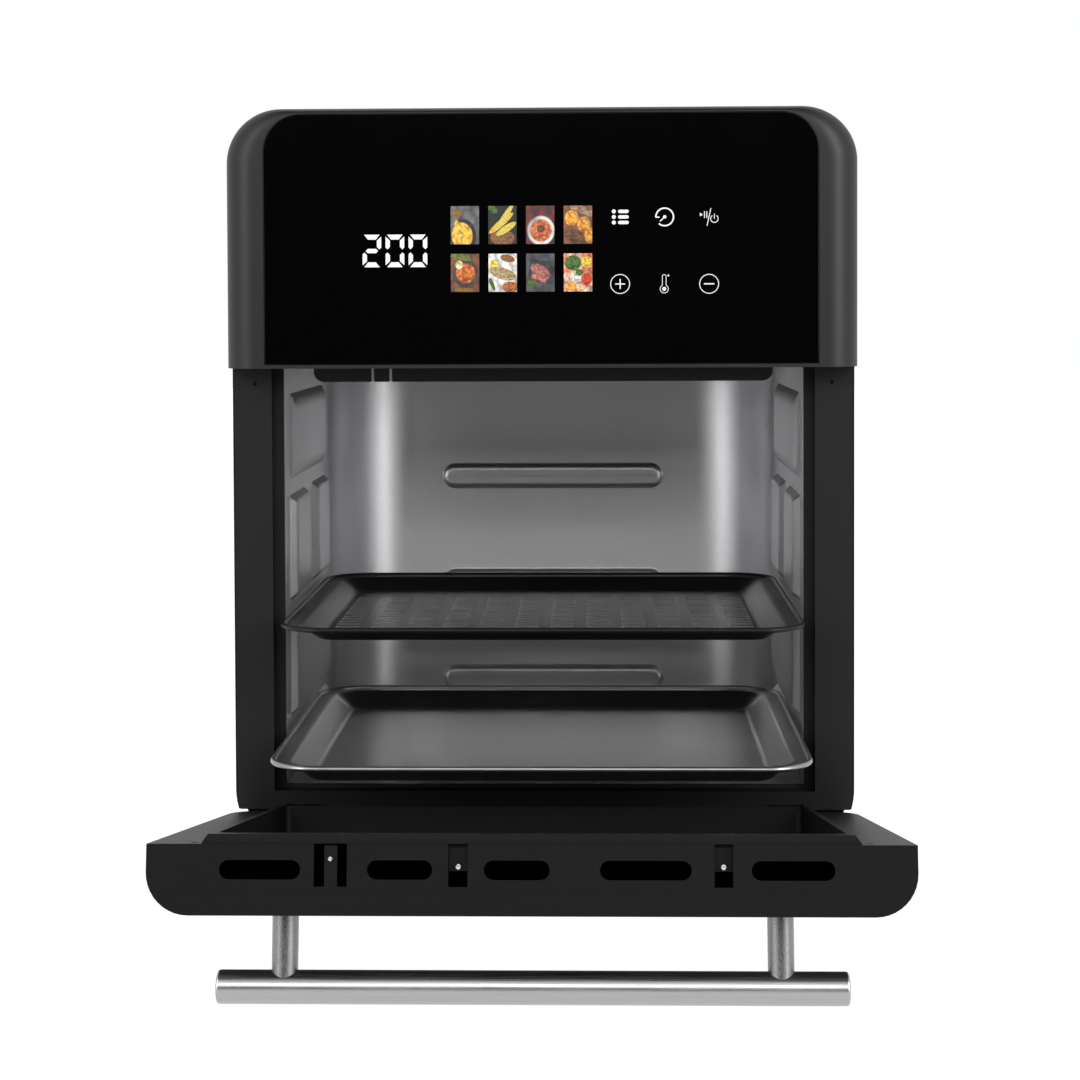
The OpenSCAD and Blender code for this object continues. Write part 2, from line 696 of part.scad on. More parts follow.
module door_face() color([0.035, 0.035, 0.038]) in_door() difference() {
    door_form(door_y0, face_y);
    door_form(door_y0 + wall + 2, face_y + 1, wall);
    along_y(door_y0 - 1, door_y0 + 4) translate([0, 133]) rounded([252.4, 178.4], 12.2);
    along_y(door_y0 - 1, face_y) translate([0, 133]) rounded([240, 166], 8);
    for (side = [-1, 1]) translate([side * post_gap / 2, 0, bar_z]) rod_y(door_y0 - 1, face_y, 2.2);
    both_sides([arm_x - arm_t, -40, 0], [arm_x + arm_t, 1, 12]);
}

module door_outer_glass() color([0.02, 0.02, 0.025, 0.8]) in_door()
    along_y(door_y0, door_y0 + 4) translate([0, 133]) rounded([252, 178], 12);

module door_inner_glass() color([0.1, 0.12, 0.12, 0.5]) in_door()
    block([-recess_w / 2 + 7, pane_y - pane_t, recess_z0 + 7], [recess_w / 2 - 7, pane_y, recess_z1 - 7]);

module glass_clips() color("silver") in_door() for (side = [-1, 1], z = [90, 216])
    block([side * 127 - 9, pane_y - pane_t - 1, z - 8], [side * 127 + 9, pane_y - pane_t, z + 8]);

module hinge_knuckles() color([0.6, 0.61, 0.62]) in_door() for (side = [-1, 1], part = [-1, 1])
    translate([side * arm_x + part * 5.6, 0, 0]) difference() {
        intersection() {
            along_x(-knuckle_t / 2, knuckle_t / 2) {
                translate([hinge_y, hinge_z]) circle(knuckle_r - 1);
                translate([-12, door_z0 + wall]) square([11.5, hinge_z - door_z0 - wall]);
            }
            block([-10, -20, 0], [10, -seam, 60]);
        }
        translate([0, hinge_y, hinge_z]) rod_x(-10, 10, pin_r + pin_play);
    }

module door_screws() color("silver") in_door() for (p = edge_pockets)
    translate([(p[0] + p[1]) / 2, -seam - 9.4, 0]) {
        rod_z(door_z1 - 3, door_z1 - 1.8, 1.6);
        rod_z(door_z1 - 7, door_z1 - 3, 1);
    }

module at_bar() translate([0, door_y0 - bar_off, bar_z]) children();

module handle_bar() color([0.72, 0.72, 0.73]) in_door() at_bar() difference() {
    rod_x(-bar_l / 2, bar_l / 2, bar_dia / 2);
    rod_x(-bar_l / 2 - 1, bar_l / 2 + 1, bar_dia / 2 - 1.2);
}

module handle_caps() color([0.72, 0.72, 0.73]) in_door() at_bar() for (side = [-1, 1])
    translate([side * (bar_l / 2 - 2.5), 0, 0]) rod_x(-2.5, 2.5, bar_dia / 2 - 1.2);

module handle_posts() color([0.72, 0.72, 0.73]) in_door() for (side = [-1, 1])
    translate([side * post_gap / 2, 0, 0]) difference() {
        translate([0, 0, bar_z]) rod_y(door_y0 - bar_off, door_y0, post_dia / 2);
        at_bar() rod_x(-20, 20, bar_dia / 2);
        translate([0, 0, bar_z]) rod_y(door_y0 - 16, door_y0 + 1, 2);
    }

module handle_screws() color("silver") in_door() for (side = [-1, 1])
    translate([side * post_gap / 2, 0, bar_z]) {
        rod_y(door_y0 - 14, door_y0 + wall + 2, 1.95);
        rod_y(door_y0 + wall + 2, door_y0 + wall + 4, 4);
    }

// ---- Trays ----

// A sloping pan under a flat rim
module pan_form(inset, deep) hull() {
    translate([0, 0, -eps]) linear_extrude(eps)
        rounded([tray_w - 2 * (tray_rim + inset), tray_d - 2 * (tray_rim + inset)], tray_r - tray_rim - inset, $fn = 48);
    translate([0, 0, -deep]) linear_extrude(eps)
        rounded([tray_w - 2 * (tray_rim + slope + inset), tray_d - 2 * (tray_rim + slope + inset)], 8, $fn = 48);
}

module tray_body(deep) difference() {
    union() {
        linear_extrude(tray_t) rounded([tray_w, tray_d], tray_r);
        pan_form(0, deep);
    }
    translate([0, 0, tray_t + eps]) pan_form(tray_t, deep);
    linear_extrude(tray_t + 1) rounded([tray_w - 2 * tray_rim - 2, tray_d - 2 * tray_rim - 2], tray_r - tray_rim - 1);
}

module drip_tray() color([0.7, 0.7, 0.7]) in_body()
    translate([0, tray_d / 2 - low_out, level_low]) tray_body(tray_deep);

module crisper_tray() color([0.06, 0.06, 0.06]) in_body()
    translate([0, tray_d / 2 - high_out, level_low + level_pitch]) difference() {
        tray_body(high_deep);
        for (col = [0:slot_cols - 1], row = [0:slot_rows - 1])
            translate([(col - (slot_cols - 1) / 2) * slot_pitch_x - slot_size[0] / 2,
                (row - (slot_rows - 1) / 2) * slot_pitch_y - slot_size[1] / 2, -high_deep - 1])
                cube([slot_size[0], slot_size[1], 4]);
    }

outer_shell();
base_plate();
rear_cover();
head_housing();
control_glass();
display_module();
touch_board();
board_screws();
power_board();
ribbon_cable();
front_frame();
frame_screws();
steam_baffle();
door_switch();
cavity_liner();
floor_pan();
cavity_top();
heater_guard();
heating_coil();
heater_clips();
heater_bushes();
insulation_mat();
heat_shield();
motor_bracket();
fan_motor();
motor_shaft();
convection_fan();
cooling_fan();
air_guide();
exhaust_duct();
temperature_probe();
thermal_cutout();
terminal_block();
cord_gland();
rear_spacers();
rear_screws();
feet();
foot_pads();
foot_screws();
hinge_arms();
hinge_pins();
door_stops();
door_frame();
door_face();
door_outer_glass();
door_inner_glass();
glass_gasket();
glass_clips();
hinge_knuckles();
door_screws();
handle_bar();
handle_caps();
handle_posts();
handle_screws();
crisper_tray();
drip_tray();
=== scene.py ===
# An upright countertop oven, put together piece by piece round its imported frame.
# Places are in millimetres: across from the middle, back from the body's front plane, and up from the table.
from math import atan2, cos, degrees, pi, radians, sin

import bmesh
import bpy
from mathutils import Matrix, Vector


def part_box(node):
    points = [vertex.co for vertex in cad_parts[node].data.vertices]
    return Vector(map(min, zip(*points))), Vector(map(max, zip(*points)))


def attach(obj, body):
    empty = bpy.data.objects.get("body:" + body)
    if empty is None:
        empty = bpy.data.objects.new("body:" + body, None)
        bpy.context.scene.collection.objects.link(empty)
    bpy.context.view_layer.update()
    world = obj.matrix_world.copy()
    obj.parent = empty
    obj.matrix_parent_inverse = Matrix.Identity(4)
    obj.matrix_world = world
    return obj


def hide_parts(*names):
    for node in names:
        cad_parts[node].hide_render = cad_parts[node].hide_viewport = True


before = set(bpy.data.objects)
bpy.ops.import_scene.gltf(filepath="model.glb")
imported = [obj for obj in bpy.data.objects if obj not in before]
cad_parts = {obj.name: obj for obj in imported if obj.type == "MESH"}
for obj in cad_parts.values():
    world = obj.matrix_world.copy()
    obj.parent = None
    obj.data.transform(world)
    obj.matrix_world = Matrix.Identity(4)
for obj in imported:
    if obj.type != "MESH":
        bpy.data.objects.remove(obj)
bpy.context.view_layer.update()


# ---- Outer shell ----
# One sheet of 0.8 mm steel folded round the sides, top and lower corners, painted satin black.
# The sides are punched with louvres, and the front of the roof is cut away for the head.
MM = 0.001
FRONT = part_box("front_frame")[0].y
BODY_HALF = 162
BODY_TOP = 402.4
FOOT_TOP = 10
SHELL_BACK = 286
SHEET = 0.8
UPPER_ROUND = 28
LOWER_ROUND = 38
HEAD_Z = 269.4
HEAD_BACK = 62
PLINTH_Z = 37.2
LOUVRES, LOUVRE_PITCH = 9, 8


def at(x, y, z):
    """A place given in millimetres, as a point in the frame."""
    return Vector((x * MM, FRONT + y * MM, z * MM))


def bare():
    """Nothing held, and no piece open for shaping."""
    if bpy.context.mode != "OBJECT":
        bpy.ops.object.mode_set(mode="OBJECT")
    bpy.ops.object.select_all(action="DESELECT")


def hold(piece):
    """Only this piece held, ready for an operator."""
    bare()
    piece.select_set(True)
    bpy.context.view_layer.objects.active = piece
    return piece


def settle(piece):
    """Works the piece's place, turn and size into its mesh."""
    hold(piece)
    bpy.ops.object.transform_apply(location=True, rotation=True, scale=True)
    return piece


def block(name, one, other):
    """A squared blank between two opposite corners."""
    low = Vector(map(min, at(*one), at(*other)))
    high = Vector(map(max, at(*one), at(*other)))
    bare()
    bpy.ops.mesh.primitive_cube_add(size=1, location=(low + high) / 2)
    piece = bpy.context.object
    piece.name = name
    piece.scale = high - low
    return settle(piece)


def mark(piece, kind, test):
    """Opens the piece and picks the corners, edges or faces that the test is true for."""
    hold(piece)
    bpy.ops.object.mode_set(mode="EDIT")
    bpy.ops.mesh.select_mode(type=kind)
    bpy.ops.mesh.select_all(action="DESELECT")
    mesh = bmesh.from_edit_mesh(piece.data)
    for part in {"VERT": mesh.verts, "EDGE": mesh.edges, "FACE": mesh.faces}[kind]:
        if test(part):
            part.select_set(True)
    mesh.select_flush_mode()
    bmesh.update_edit_mesh(piece.data)


def centre(edge):
    """Middle of an edge in millimetres: across, back from the front plane, and up."""
    middle = (edge.verts[0].co + edge.verts[1].co) / 2
    return Vector((middle.x, middle.y - FRONT, middle.z)) / MM


def runs(edge, axis):
    """True if the edge lies along that axis."""
    way = edge.verts[1].co - edge.verts[0].co
    return abs(way[axis]) > 0.999 * way.length


def round_edges(piece, radius, test, steps=12):
    """Rounds the edges that the test is true for."""
    mark(piece, "EDGE", test)
    bpy.ops.mesh.bevel(offset=radius * MM, segments=steps, profile=0.5, affect="EDGES")
    bpy.ops.object.mode_set(mode="OBJECT")
    return piece


def work(piece, tool, **settings):
    """Runs one modifier on the piece and keeps its result."""
    hold(piece)
    modifier = piece.modifiers.new(tool.title(), tool)
    for setting, value in settings.items():
        setattr(modifier, setting, value)
    bpy.ops.object.modifier_apply(modifier=modifier.name)
    return piece


def cut(piece, *cutters, way="DIFFERENCE"):
    """Cuts the piece with each blank in turn, or joins it to them, and throws the blanks away."""
    for cutter in cutters:
        work(piece, "BOOLEAN", operation=way, object=cutter, solver="EXACT")
        bpy.data.objects.remove(cutter)
    return piece


def soften(piece, width, steps=2, angle=30):
    """Breaks every edge that is sharper than the angle, and smooths the rest."""
    work(piece, "BEVEL", width=width * MM, segments=steps, limit_method="ANGLE", angle_limit=radians(angle))
    hold(piece)
    bpy.ops.object.shade_smooth_by_angle(angle=radians(40))
    return work(piece, "WEIGHTED_NORMAL", keep_sharp=True)


def joined(name, pieces):
    """Makes one object of several."""
    bare()
    for piece in pieces:
        piece.select_set(True)
    bpy.context.view_layer.objects.active = pieces[0]
    if len(pieces) > 1:
        bpy.ops.object.join()
    pieces[0].name = name
    return pieces[0]


def body_form(name, y0, y1, inset=0.0):
    """The body's outline seen from the front, given depth."""
    piece = block(name, (-BODY_HALF + inset, y0, FOOT_TOP + inset), (BODY_HALF - inset, y1, BODY_TOP - inset))
    round_edges(piece, UPPER_ROUND - inset, lambda e: runs(e, 1) and centre(e).z > 300, 20)
    return round_edges(piece, LOWER_ROUND - inset, lambda e: runs(e, 1) and centre(e).z < 50, 24)


def grained(name, colour, rough, metal=0.0, grain=(900, 900, 900), tint=0.12, spread=0.08, depth=0.02,
            smudge=0.05, **sockets):
    """A finish with a fine grain in its colour, gloss and surface, and broad faint handling marks."""
    finish = bpy.data.materials.new(name)
    finish.use_nodes = True
    nodes, links = finish.node_tree.nodes, finish.node_tree.links
    skin = nodes["Principled BSDF"]
    skin.inputs["Metallic"].default_value = metal
    for socket, value in sockets.items():
        skin.inputs[socket.replace("_", " ")].default_value = value
    place = nodes.new("ShaderNodeTexCoord")
    lay = nodes.new("ShaderNodeMapping")
    lay.inputs["Scale"].default_value = grain
    links.new(place.outputs["Object"], lay.inputs["Vector"])
    fine = nodes.new("ShaderNodeTexNoise")
    fine.inputs["Scale"].default_value = 1.0
    fine.inputs["Detail"].default_value = 3.0
    links.new(lay.outputs["Vector"], fine.inputs["Vector"])
    broad = nodes.new("ShaderNodeTexNoise")
    broad.inputs["Scale"].default_value = 22.0
    broad.inputs["Detail"].default_value = 4.0
    links.new(place.outputs["Object"], broad.inputs["Vector"])
    shade = nodes.new("ShaderNodeMix")
    shade.data_type = "RGBA"
    shade.inputs["A"].default_value = [c * (1 - tint) for c in colour] + [1]
    shade.inputs["B"].default_value = [c * (1 + tint) for c in colour] + [1]
    links.new(fine.outputs["Fac"], shade.inputs["Factor"])
    links.new(shade.outputs["Result"], skin.inputs["Base Color"])
    gloss = nodes.new("ShaderNodeMapRange")
    gloss.inputs["From Min"].default_value = 0.25
    gloss.inputs["From Max"].default_value = 0.75
    gloss.inputs["To Min"].default_value = rough - spread
    gloss.inputs["To Max"].default_value = rough + spread
    links.new(fine.outputs["Fac"], gloss.inputs["Value"])
    marks = nodes.new("ShaderNodeMath")
    marks.operation = "MULTIPLY_ADD"
    marks.inputs[1].default_value = smudge
    links.new(broad.outputs["Fac"], marks.inputs[0])
    links.new(gloss.outputs["Result"], marks.inputs[2])
    links.new(marks.outputs["Value"], skin.inputs["Roughness"])
    relief = nodes.new("ShaderNodeBump")
    relief.inputs["Strength"].default_value = 0.6
    relief.inputs["Distance"].default_value = depth * MM
    links.new(fine.outputs["Fac"], relief.inputs["Height"])
    links.new(relief.outputs["Normal"], skin.inputs["Normal"])
    return finish


def fit(piece, body, finish, slot, *nodes):
    """Gives a finished piece its material, the body that it moves with, and the frame nodes it stands for."""
    piece.data.materials.clear()
    piece.data.materials.append(finish)
    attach(piece, body)
    if nodes:
        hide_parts(*nodes)
    return piece


satin_paint = grained("satin_paint", (0.007, 0.007, 0.0073), 0.60, grain=(1400, 1400, 1400), tint=0.25, depth=0.03,
                      Specular_IOR_Level=0.2)
shell = body_form("shell_wrap", 0.5, SHELL_BACK)
mark(shell, "FACE", lambda f: abs(f.normal.y) > 0.99)
bpy.ops.mesh.delete(type="FACE")
work(shell, "SOLIDIFY", thickness=SHEET * MM, offset=-1)
louvres = [block("louvre", (-170, 196, 302 + LOUVRE_PITCH * i), (170, 262, 305 + LOUVRE_PITCH * i))
           for i in range(LOUVRES)]
louvres = [round_edges(louvre, 1.45, lambda e: runs(e, 0), 4) for louvre in louvres]
cut(shell, joined("louvres", louvres), block("head_room", (-170, -1, HEAD_Z), (170, HEAD_BACK, 410)),
    block("plinth_room", (-170, -1, 0), (170, 18.5, PLINTH_Z)),
    block("base_room", (-114, -1, 0), (114, 300, 30)))
soften(shell, 0.25)
fit(shell, "root", satin_paint, "shell_paint", "outer_shell")


# ---- Base and feet ----
# The galvanised floor of the body is screwed to the shell's lower lips.
# Four black feet with rubber soles are screwed up through it.
def rod(name, start, end, radius, sides=48):
    """A round bar from one point to another."""
    start, end = at(*start), at(*end)
    bare()
    bpy.ops.mesh.primitive_cylinder_add(vertices=sides, radius=radius * MM, depth=(end - start).length,
                                        location=(start + end) / 2,
                                        rotation=(end - start).to_track_quat("Z", "Y").to_euler())
    bpy.context.object.name = name
    return settle(bpy.context.object)


def faces_to(way, least=0.99):
    """A test for faces that look along a direction."""
    return lambda face: face.normal.dot(Vector(way)) > least


def dress(finish, *nodes):
    """Gives frame nodes that are shown as they are a proper finish."""
    for name in nodes:
        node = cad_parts[name]
        if not node.material_slots:
            node.data.materials.append(finish)
        for slot in node.material_slots:
            slot.material = finish


galvanised = grained("galvanised", (0.42, 0.43, 0.44), 0.42, 0.9, grain=(160, 160, 160), tint=0.2, spread=0.1)
rubber = grained("rubber", (0.018, 0.018, 0.018), 0.75, grain=(700, 700, 700), depth=0.06)
moulded_black = grained("moulded_black", (0.0055, 0.0055, 0.0058), 0.46, grain=(1500, 1500, 1500), tint=0.2,
                        spread=0.06, depth=0.035, Specular_IOR_Level=0.2)
bright_steel = grained("bright_steel", (0.62, 0.62, 0.63), 0.27, 1.0, grain=(1200, 1200, 1200))
dress(galvanised, "base_plate")
dress(bright_steel, "foot_screws")
FEET = [(x, y) for x in (-110, 110) for y in (45, 250)]
feet, soles = [], []
for x, y in FEET:
    foot = rod("foot", (x, y, 2), (x, y, FOOT_TOP), 12, 64)
    mark(foot, "FACE", faces_to((0, 0, -1)))
    bpy.ops.transform.resize(value=(0.86, 0.86, 1), center_override=at(x, y, 2))
    bpy.ops.object.mode_set(mode="OBJECT")
    feet.append(foot)
    sole = rod("sole", (x, y, 0), (x, y, 2.2), 9.8, 64)
    mark(sole, "FACE", faces_to((0, 0, -1)))
    bpy.ops.mesh.inset(thickness=3 * MM)
    bpy.ops.mesh.inset(thickness=0.6 * MM, depth=-1 * MM)
    bpy.ops.object.mode_set(mode="OBJECT")
    soles.append(sole)
fit(soften(joined("feet_moulded", feet), 0.6), "root", moulded_black, "frame_plastic", "feet")
fit(soften(joined("feet_soles", soles), 0.3), "root", rubber, "foot_rubber", "foot_pads")


# ---- Cavity ----
# A wrap of satin steel with round back corners, its tray supports and ribs pressed in, on a steel floor.
# The domed ceiling holds the element, the fan and the wire guard.
CAVITY_HALF = 136.15
CAVITY_FRONT, CAVITY_BACK = 10.1, 256
CAVITY_ROUND = 50
WALL = 0.7
FLOOR_Z = 48.7
CEILING_Z = 272
LEVELS = (75, 136.9, 198.8)
PAD_FRONT, PAD_BACK = 27, 178

cavity_steel = grained("cavity_steel", (0.68, 0.68, 0.69), 0.33, 1.0, grain=(1500, 1500, 500), tint=0.10,
                       spread=0.05, depth=0.012)
tub = block("cavity_wrap", (-CAVITY_HALF, CAVITY_FRONT, FLOOR_Z), (CAVITY_HALF, CAVITY_BACK, CEILING_Z))
round_edges(tub, CAVITY_ROUND, lambda e: runs(e, 2) and centre(e).y > 200, 24)
mark(tub, "FACE", lambda f: f.normal.y < -0.99 or abs(f.normal.z) > 0.99)
bpy.ops.mesh.delete(type="FACE")
work(tub, "SOLIDIFY", thickness=WALL * MM, offset=1)


def pressed_pad(side, y0, y1, z0, z1, height, shoulder, run=5.5):
    """A tray support that stands height out of a wall, with sloping ends and soft shoulders."""
    pad = block("pad", (side * (CAVITY_HALF + 0.4), y0, z0), (side * (CAVITY_HALF - height), y1, z1))
    mark(pad, "FACE", faces_to((-side, 0, 0)))
    bpy.ops.transform.resize(value=(1, (y1 - y0 - 2 * run) / (y1 - y0), (z1 - z0 - 1.3 * run) / (z1 - z0)),
                             center_override=at(side * (CAVITY_HALF - height), (y0 + y1) / 2, (z0 + z1) / 2))
    bpy.ops.object.mode_set(mode="OBJECT")
    return round_edges(pad, shoulder, lambda e: not (centre(e).x * side > CAVITY_HALF), 5)


PADS = ((PAD_FRONT, 88, LEVELS[1] + 6, LEVELS[2] + 1.5), (119, PAD_BACK, LEVELS[1] + 6, LEVELS[2] + 1.5),
        (PAD_FRONT, PAD_BACK, LEVELS[0] + 6, LEVELS[1] - 0.9), (PAD_FRONT, PAD_BACK, FLOOR_Z + 3, LEVELS[0] - 0.9))
RIBS = (193, 126, 64.5)
pads = []
for side in (-1, 1):
    pads.append(pressed_pad(side, PAD_FRONT, 173, LEVELS[2] + 9, 255, 3.3, 3.1, 9))
    pads += [pressed_pad(side, *place, 4.1, 1.6) for place in PADS]
for z in RIBS:
    rib = block("rib", (-70, CAVITY_BACK - 5, z - 8), (70, CAVITY_BACK + 0.5, z + 8))
    round_edges(rib, 7.95, lambda e: runs(e, 1), 10)
    pads.append(round_edges(rib, 4.2, lambda e: centre(e).y < CAVITY_BACK - 4.9, 6))
cut(tub, *pads, way="UNION")
soften(tub, 1.1, 3, 24)
fit(tub, "root", cavity_steel, "cavity_steel", "cavity_liner")

floor = block("cavity_floor", (-CAVITY_HALF, CAVITY_FRONT, FLOOR_Z - WALL), (CAVITY_HALF, CAVITY_BACK, FLOOR_Z))
round_edges(floor, CAVITY_ROUND, lambda e: runs(e, 2) and centre(e).y > 200, 24)
mark(floor, "FACE", faces_to((0, 0, 1)))
bpy.ops.mesh.inset(thickness=16 * MM)
bpy.ops.mesh.inset(thickness=1.6 * MM, depth=0.5 * MM)
bpy.ops.object.mode_set(mode="OBJECT")
fit(soften(floor, 0.3, 2, 10), "root", cavity_steel, "cavity_steel", "floor_pan")

# The domed ceiling's steel is painted dark, a painted shade for the shadow that fills the top of the cavity.
ceiling_steel_painted_shade = grained("ceiling_steel_painted_shade", (0.20, 0.19, 0.18), 0.45, 1.0, grain=(1500, 1500, 500), tint=0.15, smudge=0.15)
dress(ceiling_steel_painted_shade, "cavity_top")

heater_tube = grained("heater_tube", (0.16, 0.14, 0.13), 0.5, 0.7, grain=(700, 700, 700), tint=0.4, smudge=0.2)
dress(bright_steel, "heater_guard", "heater_clips", "temperature_probe")
dress(heater_tube, "heating_coil")


# ---- Works behind the cavity ----
# Element bushes, insulation, heat shield, motor with its two fans, air ducts, power board and terminals.
# They show only through the louvres, so they keep the frame's shapes and take their own finishes.
ceramic = grained("ceramic", (0.74, 0.71, 0.63), 0.5, grain=(500, 500, 500))
mineral_wool = grained("mineral_wool", (0.62, 0.57, 0.42), 0.95, grain=(260, 260, 900), tint=0.35, depth=0.5)
motor_can = grained("motor_can", (0.34, 0.34, 0.36), 0.38, 0.9, grain=(600, 600, 2500))
fan_aluminium = grained("fan_aluminium", (0.66, 0.67, 0.69), 0.34, 1.0, grain=(2200, 300, 300))
amber_board = grained("amber_board", (0.30, 0.20, 0.07), 0.5, grain=(420, 420, 420), tint=0.5)
white_nylon = grained("white_nylon", (0.68, 0.68, 0.65), 0.5)
dress(ceramic, "heater_bushes", "thermal_cutout")
dress(mineral_wool, "insulation_mat")
dress(galvanised, "heat_shield", "motor_bracket", "air_guide", "exhaust_duct")
dress(motor_can, "fan_motor")
dress(bright_steel, "motor_shaft")
dress(fan_aluminium, "convection_fan", "cooling_fan")
dress(amber_board, "power_board")
dress(white_nylon, "terminal_block")


# ---- Rear cover ----
# A flat painted panel over the back, punched for cooling air and hot exhaust.
# It carries two spacers that keep the oven off the wall, eight screws and the bush of the inlet.
GLAND = (112, 330)
SPACER_X, SPACER_Z = 118, 230
REAR_SCREWS = ((154, 70), (154, 180), (154, 292), (110, 394))

back = body_form("rear_panel", SHELL_BACK - SHEET, SHELL_BACK, 0.95)
openings = [block("exhaust_slot", (-28, 280, 280 + 4 * i), (28, 290, 282 + 4 * i)) for i in range(5)]
openings += [block("air_slot", (x, 280, 318 + 9 * i), (x + 48, 290, 322 + 9 * i))
             for x in (-128, -74) for i in range(6)]
openings = [round_edges(opening, 0.95, lambda e: runs(e, 1), 4) for opening in openings]
cut(back, joined("rear_openings", openings),
    rod("gland_hole", (GLAND[0], 280, GLAND[1]), (GLAND[0], 290, GLAND[1]), 8))
soften(back, 0.2)
fit(back, "root", satin_paint, "shell_paint", "rear_cover")

spacers = []
for x in (-SPACER_X, SPACER_X):
    spacer = rod("spacer", (x, SHELL_BACK, SPACER_Z), (x, SHELL_BACK + 8, SPACER_Z), 12, 64)
    mark(spacer, "FACE", faces_to((0, 1, 0)))
    bpy.ops.mesh.inset(thickness=2.5 * MM)
    bpy.ops.mesh.inset(thickness=1 * MM, depth=-2 * MM)
    bpy.ops.object.mode_set(mode="OBJECT")
    mark(spacer, "FACE", faces_to((0, -1, 0)))
    bpy.ops.transform.resize(value=(0.8, 1, 0.8), center_override=at(x, SHELL_BACK, SPACER_Z))
    bpy.ops.object.mode_set(mode="OBJECT")
    spacers.append(spacer)
fit(soften(joined("wall_spacers", spacers), 0.7), "root", moulded_black, "frame_plastic", "rear_spacers")

bush = rod("inlet_bush", (GLAND[0], SHELL_BACK - 12, GLAND[1]), (GLAND[0], SHELL_BACK + 4, GLAND[1]), 7.8, 64)
cut(bush, rod("flange", (GLAND[0], SHELL_BACK + 0.05, GLAND[1]), (GLAND[0], SHELL_BACK + 4, GLAND[1]), 11, 64),
    way="UNION")
cut(bush, rod("bore", (GLAND[0], SHELL_BACK - 20, GLAND[1]), (GLAND[0], SHELL_BACK + 10, GLAND[1]), 4, 48))
fit(soften(bush, 0.6, 3), "root", rubber, "frame_plastic", "cord_gland")


def screw_head(x, y, z, radius, way, height=1.8):
    """A domed screw head with a cross recess, looking along way."""
    spot = Vector((x, y, z))
    head = rod("screw", spot, spot + Vector(way) * height, radius, 32)
    mark(head, "FACE", faces_to(way))
    bpy.ops.mesh.inset(thickness=radius * 0.25 * MM, depth=0)
    bpy.ops.object.mode_set(mode="OBJECT")
    arm, deep = radius * 0.62, height * 0.55
    top = spot + Vector(way) * height
    side = Vector((1, 0, 0))
    up = Vector(way).cross(side)
    for one, other in ((side, up), (up, side)):
        corner = one * arm + other * radius * 0.13
        cut(head, block("cross", top - corner - Vector(way) * deep, top + corner + Vector(way)))
    return head


heads = [screw_head(side * x, SHELL_BACK, z, 3.2, (0, 1, 0)) for side in (-1, 1) for x, z in REAR_SCREWS]
fit(soften(joined("rear_screw_heads", heads), 0.25), "root", bright_steel, "zinc_steel", "rear_screws")


# ---- Front frame ----
# A black moulding screwed over the front of the cavity.
# It has a stepped lip that the shut door closes on.
MOUTH_HALF = 141.5
MOUTH_Z = 46.8
LIP_HALF = 136.35
SCREW_X, SCREW_Z = 150, 260.8
HINGE_ROOM = (116.5, 135.5)

surround = body_form("mouth_frame", 0, 3, 0.95)
cut(surround, block("above", (-170, -1, HEAD_Z), (170, 4, 410)), block("below", (-170, -1, 0), (170, 4, PLINTH_Z)))
cut(surround, block("lip", (-MOUTH_HALF - 2, 0, MOUTH_Z - 2), (MOUTH_HALF + 2, 10, HEAD_Z)),
    block("apron", (-140, 0, PLINTH_Z), (140, 18.5, PLINTH_Z + 2)), way="UNION")
cut(surround, block("mouth", (-MOUTH_HALF, -1, MOUTH_Z), (MOUTH_HALF, 8, HEAD_Z + 2)),
    block("step", (-LIP_HALF, -1, FLOOR_Z), (LIP_HALF, 11, HEAD_Z + 2)))
for side in (-1, 1):
    cut(surround, block("hinge_room", (side * HINGE_ROOM[0], -1, 30), (side * HINGE_ROOM[1], 5, 40)))
for side in (-1, 1):
    cut(surround, rod("screw_hole", (side * SCREW_X, -1, SCREW_Z), (side * SCREW_X, 4, SCREW_Z), 1.1, 24))
soften(surround, 0.45, 3)
fit(surround, "root", moulded_black, "frame_plastic", "front_frame")
heads = [screw_head(side * SCREW_X, 2, SCREW_Z, 1.05, (0, -1, 0), 0.8) for side in (-1, 1)]
fit(soften(joined("frame_screw_heads", heads), 0.1), "root", moulded_black, "black_steel", "frame_screws")


# ---- Steam baffle ----
# A black strip hung under the head across the mouth.
# The two contact blades of the door switch come through its slots.
BAFFLE_HALF, BAFFLE_TOP = 120, 282
BLADES = (-89, -79.6)

baffle = block("baffle_strip", (-BAFFLE_HALF, 5, 261.4), (BAFFLE_HALF, 8, BAFFLE_TOP))
round_edges(baffle, 5.4, lambda e: runs(e, 1) and centre(e).z < 265, 8)
cut(baffle, block("mount", (-BAFFLE_HALF, 3.1, 270.4), (BAFFLE_HALF, 5.05, BAFFLE_TOP)), way="UNION")
cut(baffle, *[block("blade_slot", (x - 0.9, 2, 260), (x + 0.9, 9, 268.6)) for x in BLADES])
fit(soften(baffle, 0.4), "root", moulded_black, "frame_plastic", "steam_baffle")
dress(motor_can, "door_switch")


# ---- Control head ----
# A thick black moulding with deeply rounded cheeks.
# It slips over the front of the shell and holds the glass in a pocket.
HEAD_OUT = 29.1
CHEEK = 18

satin_plastic = grained("satin_plastic", (0.007, 0.007, 0.0073), 0.44, grain=(1300, 1300, 1300), tint=0.2,
                        spread=0.05, depth=0.03, Specular_IOR_Level=0.28)


def turn_in(steps, depth, narrower, drop, width, height, y, z):
    """Draws the picked face forward in steps, each a little narrower and lower, so that its edge is round."""
    before, wide, tall = 0.0, width, height
    for step in range(1, steps + 1):
        turn = pi / 2 * step / steps
        forward, w, h = depth * sin(turn), width - narrower * (1 - cos(turn)), height - drop * (1 - cos(turn))
        bpy.ops.mesh.extrude_region_move(TRANSFORM_OT_translate={"value": (0, (before - forward) * MM, 0)})
        bpy.ops.transform.resize(value=(w / wide, 1, h / tall), center_override=at(0, y - forward, z))
        before, wide, tall = forward, w, h


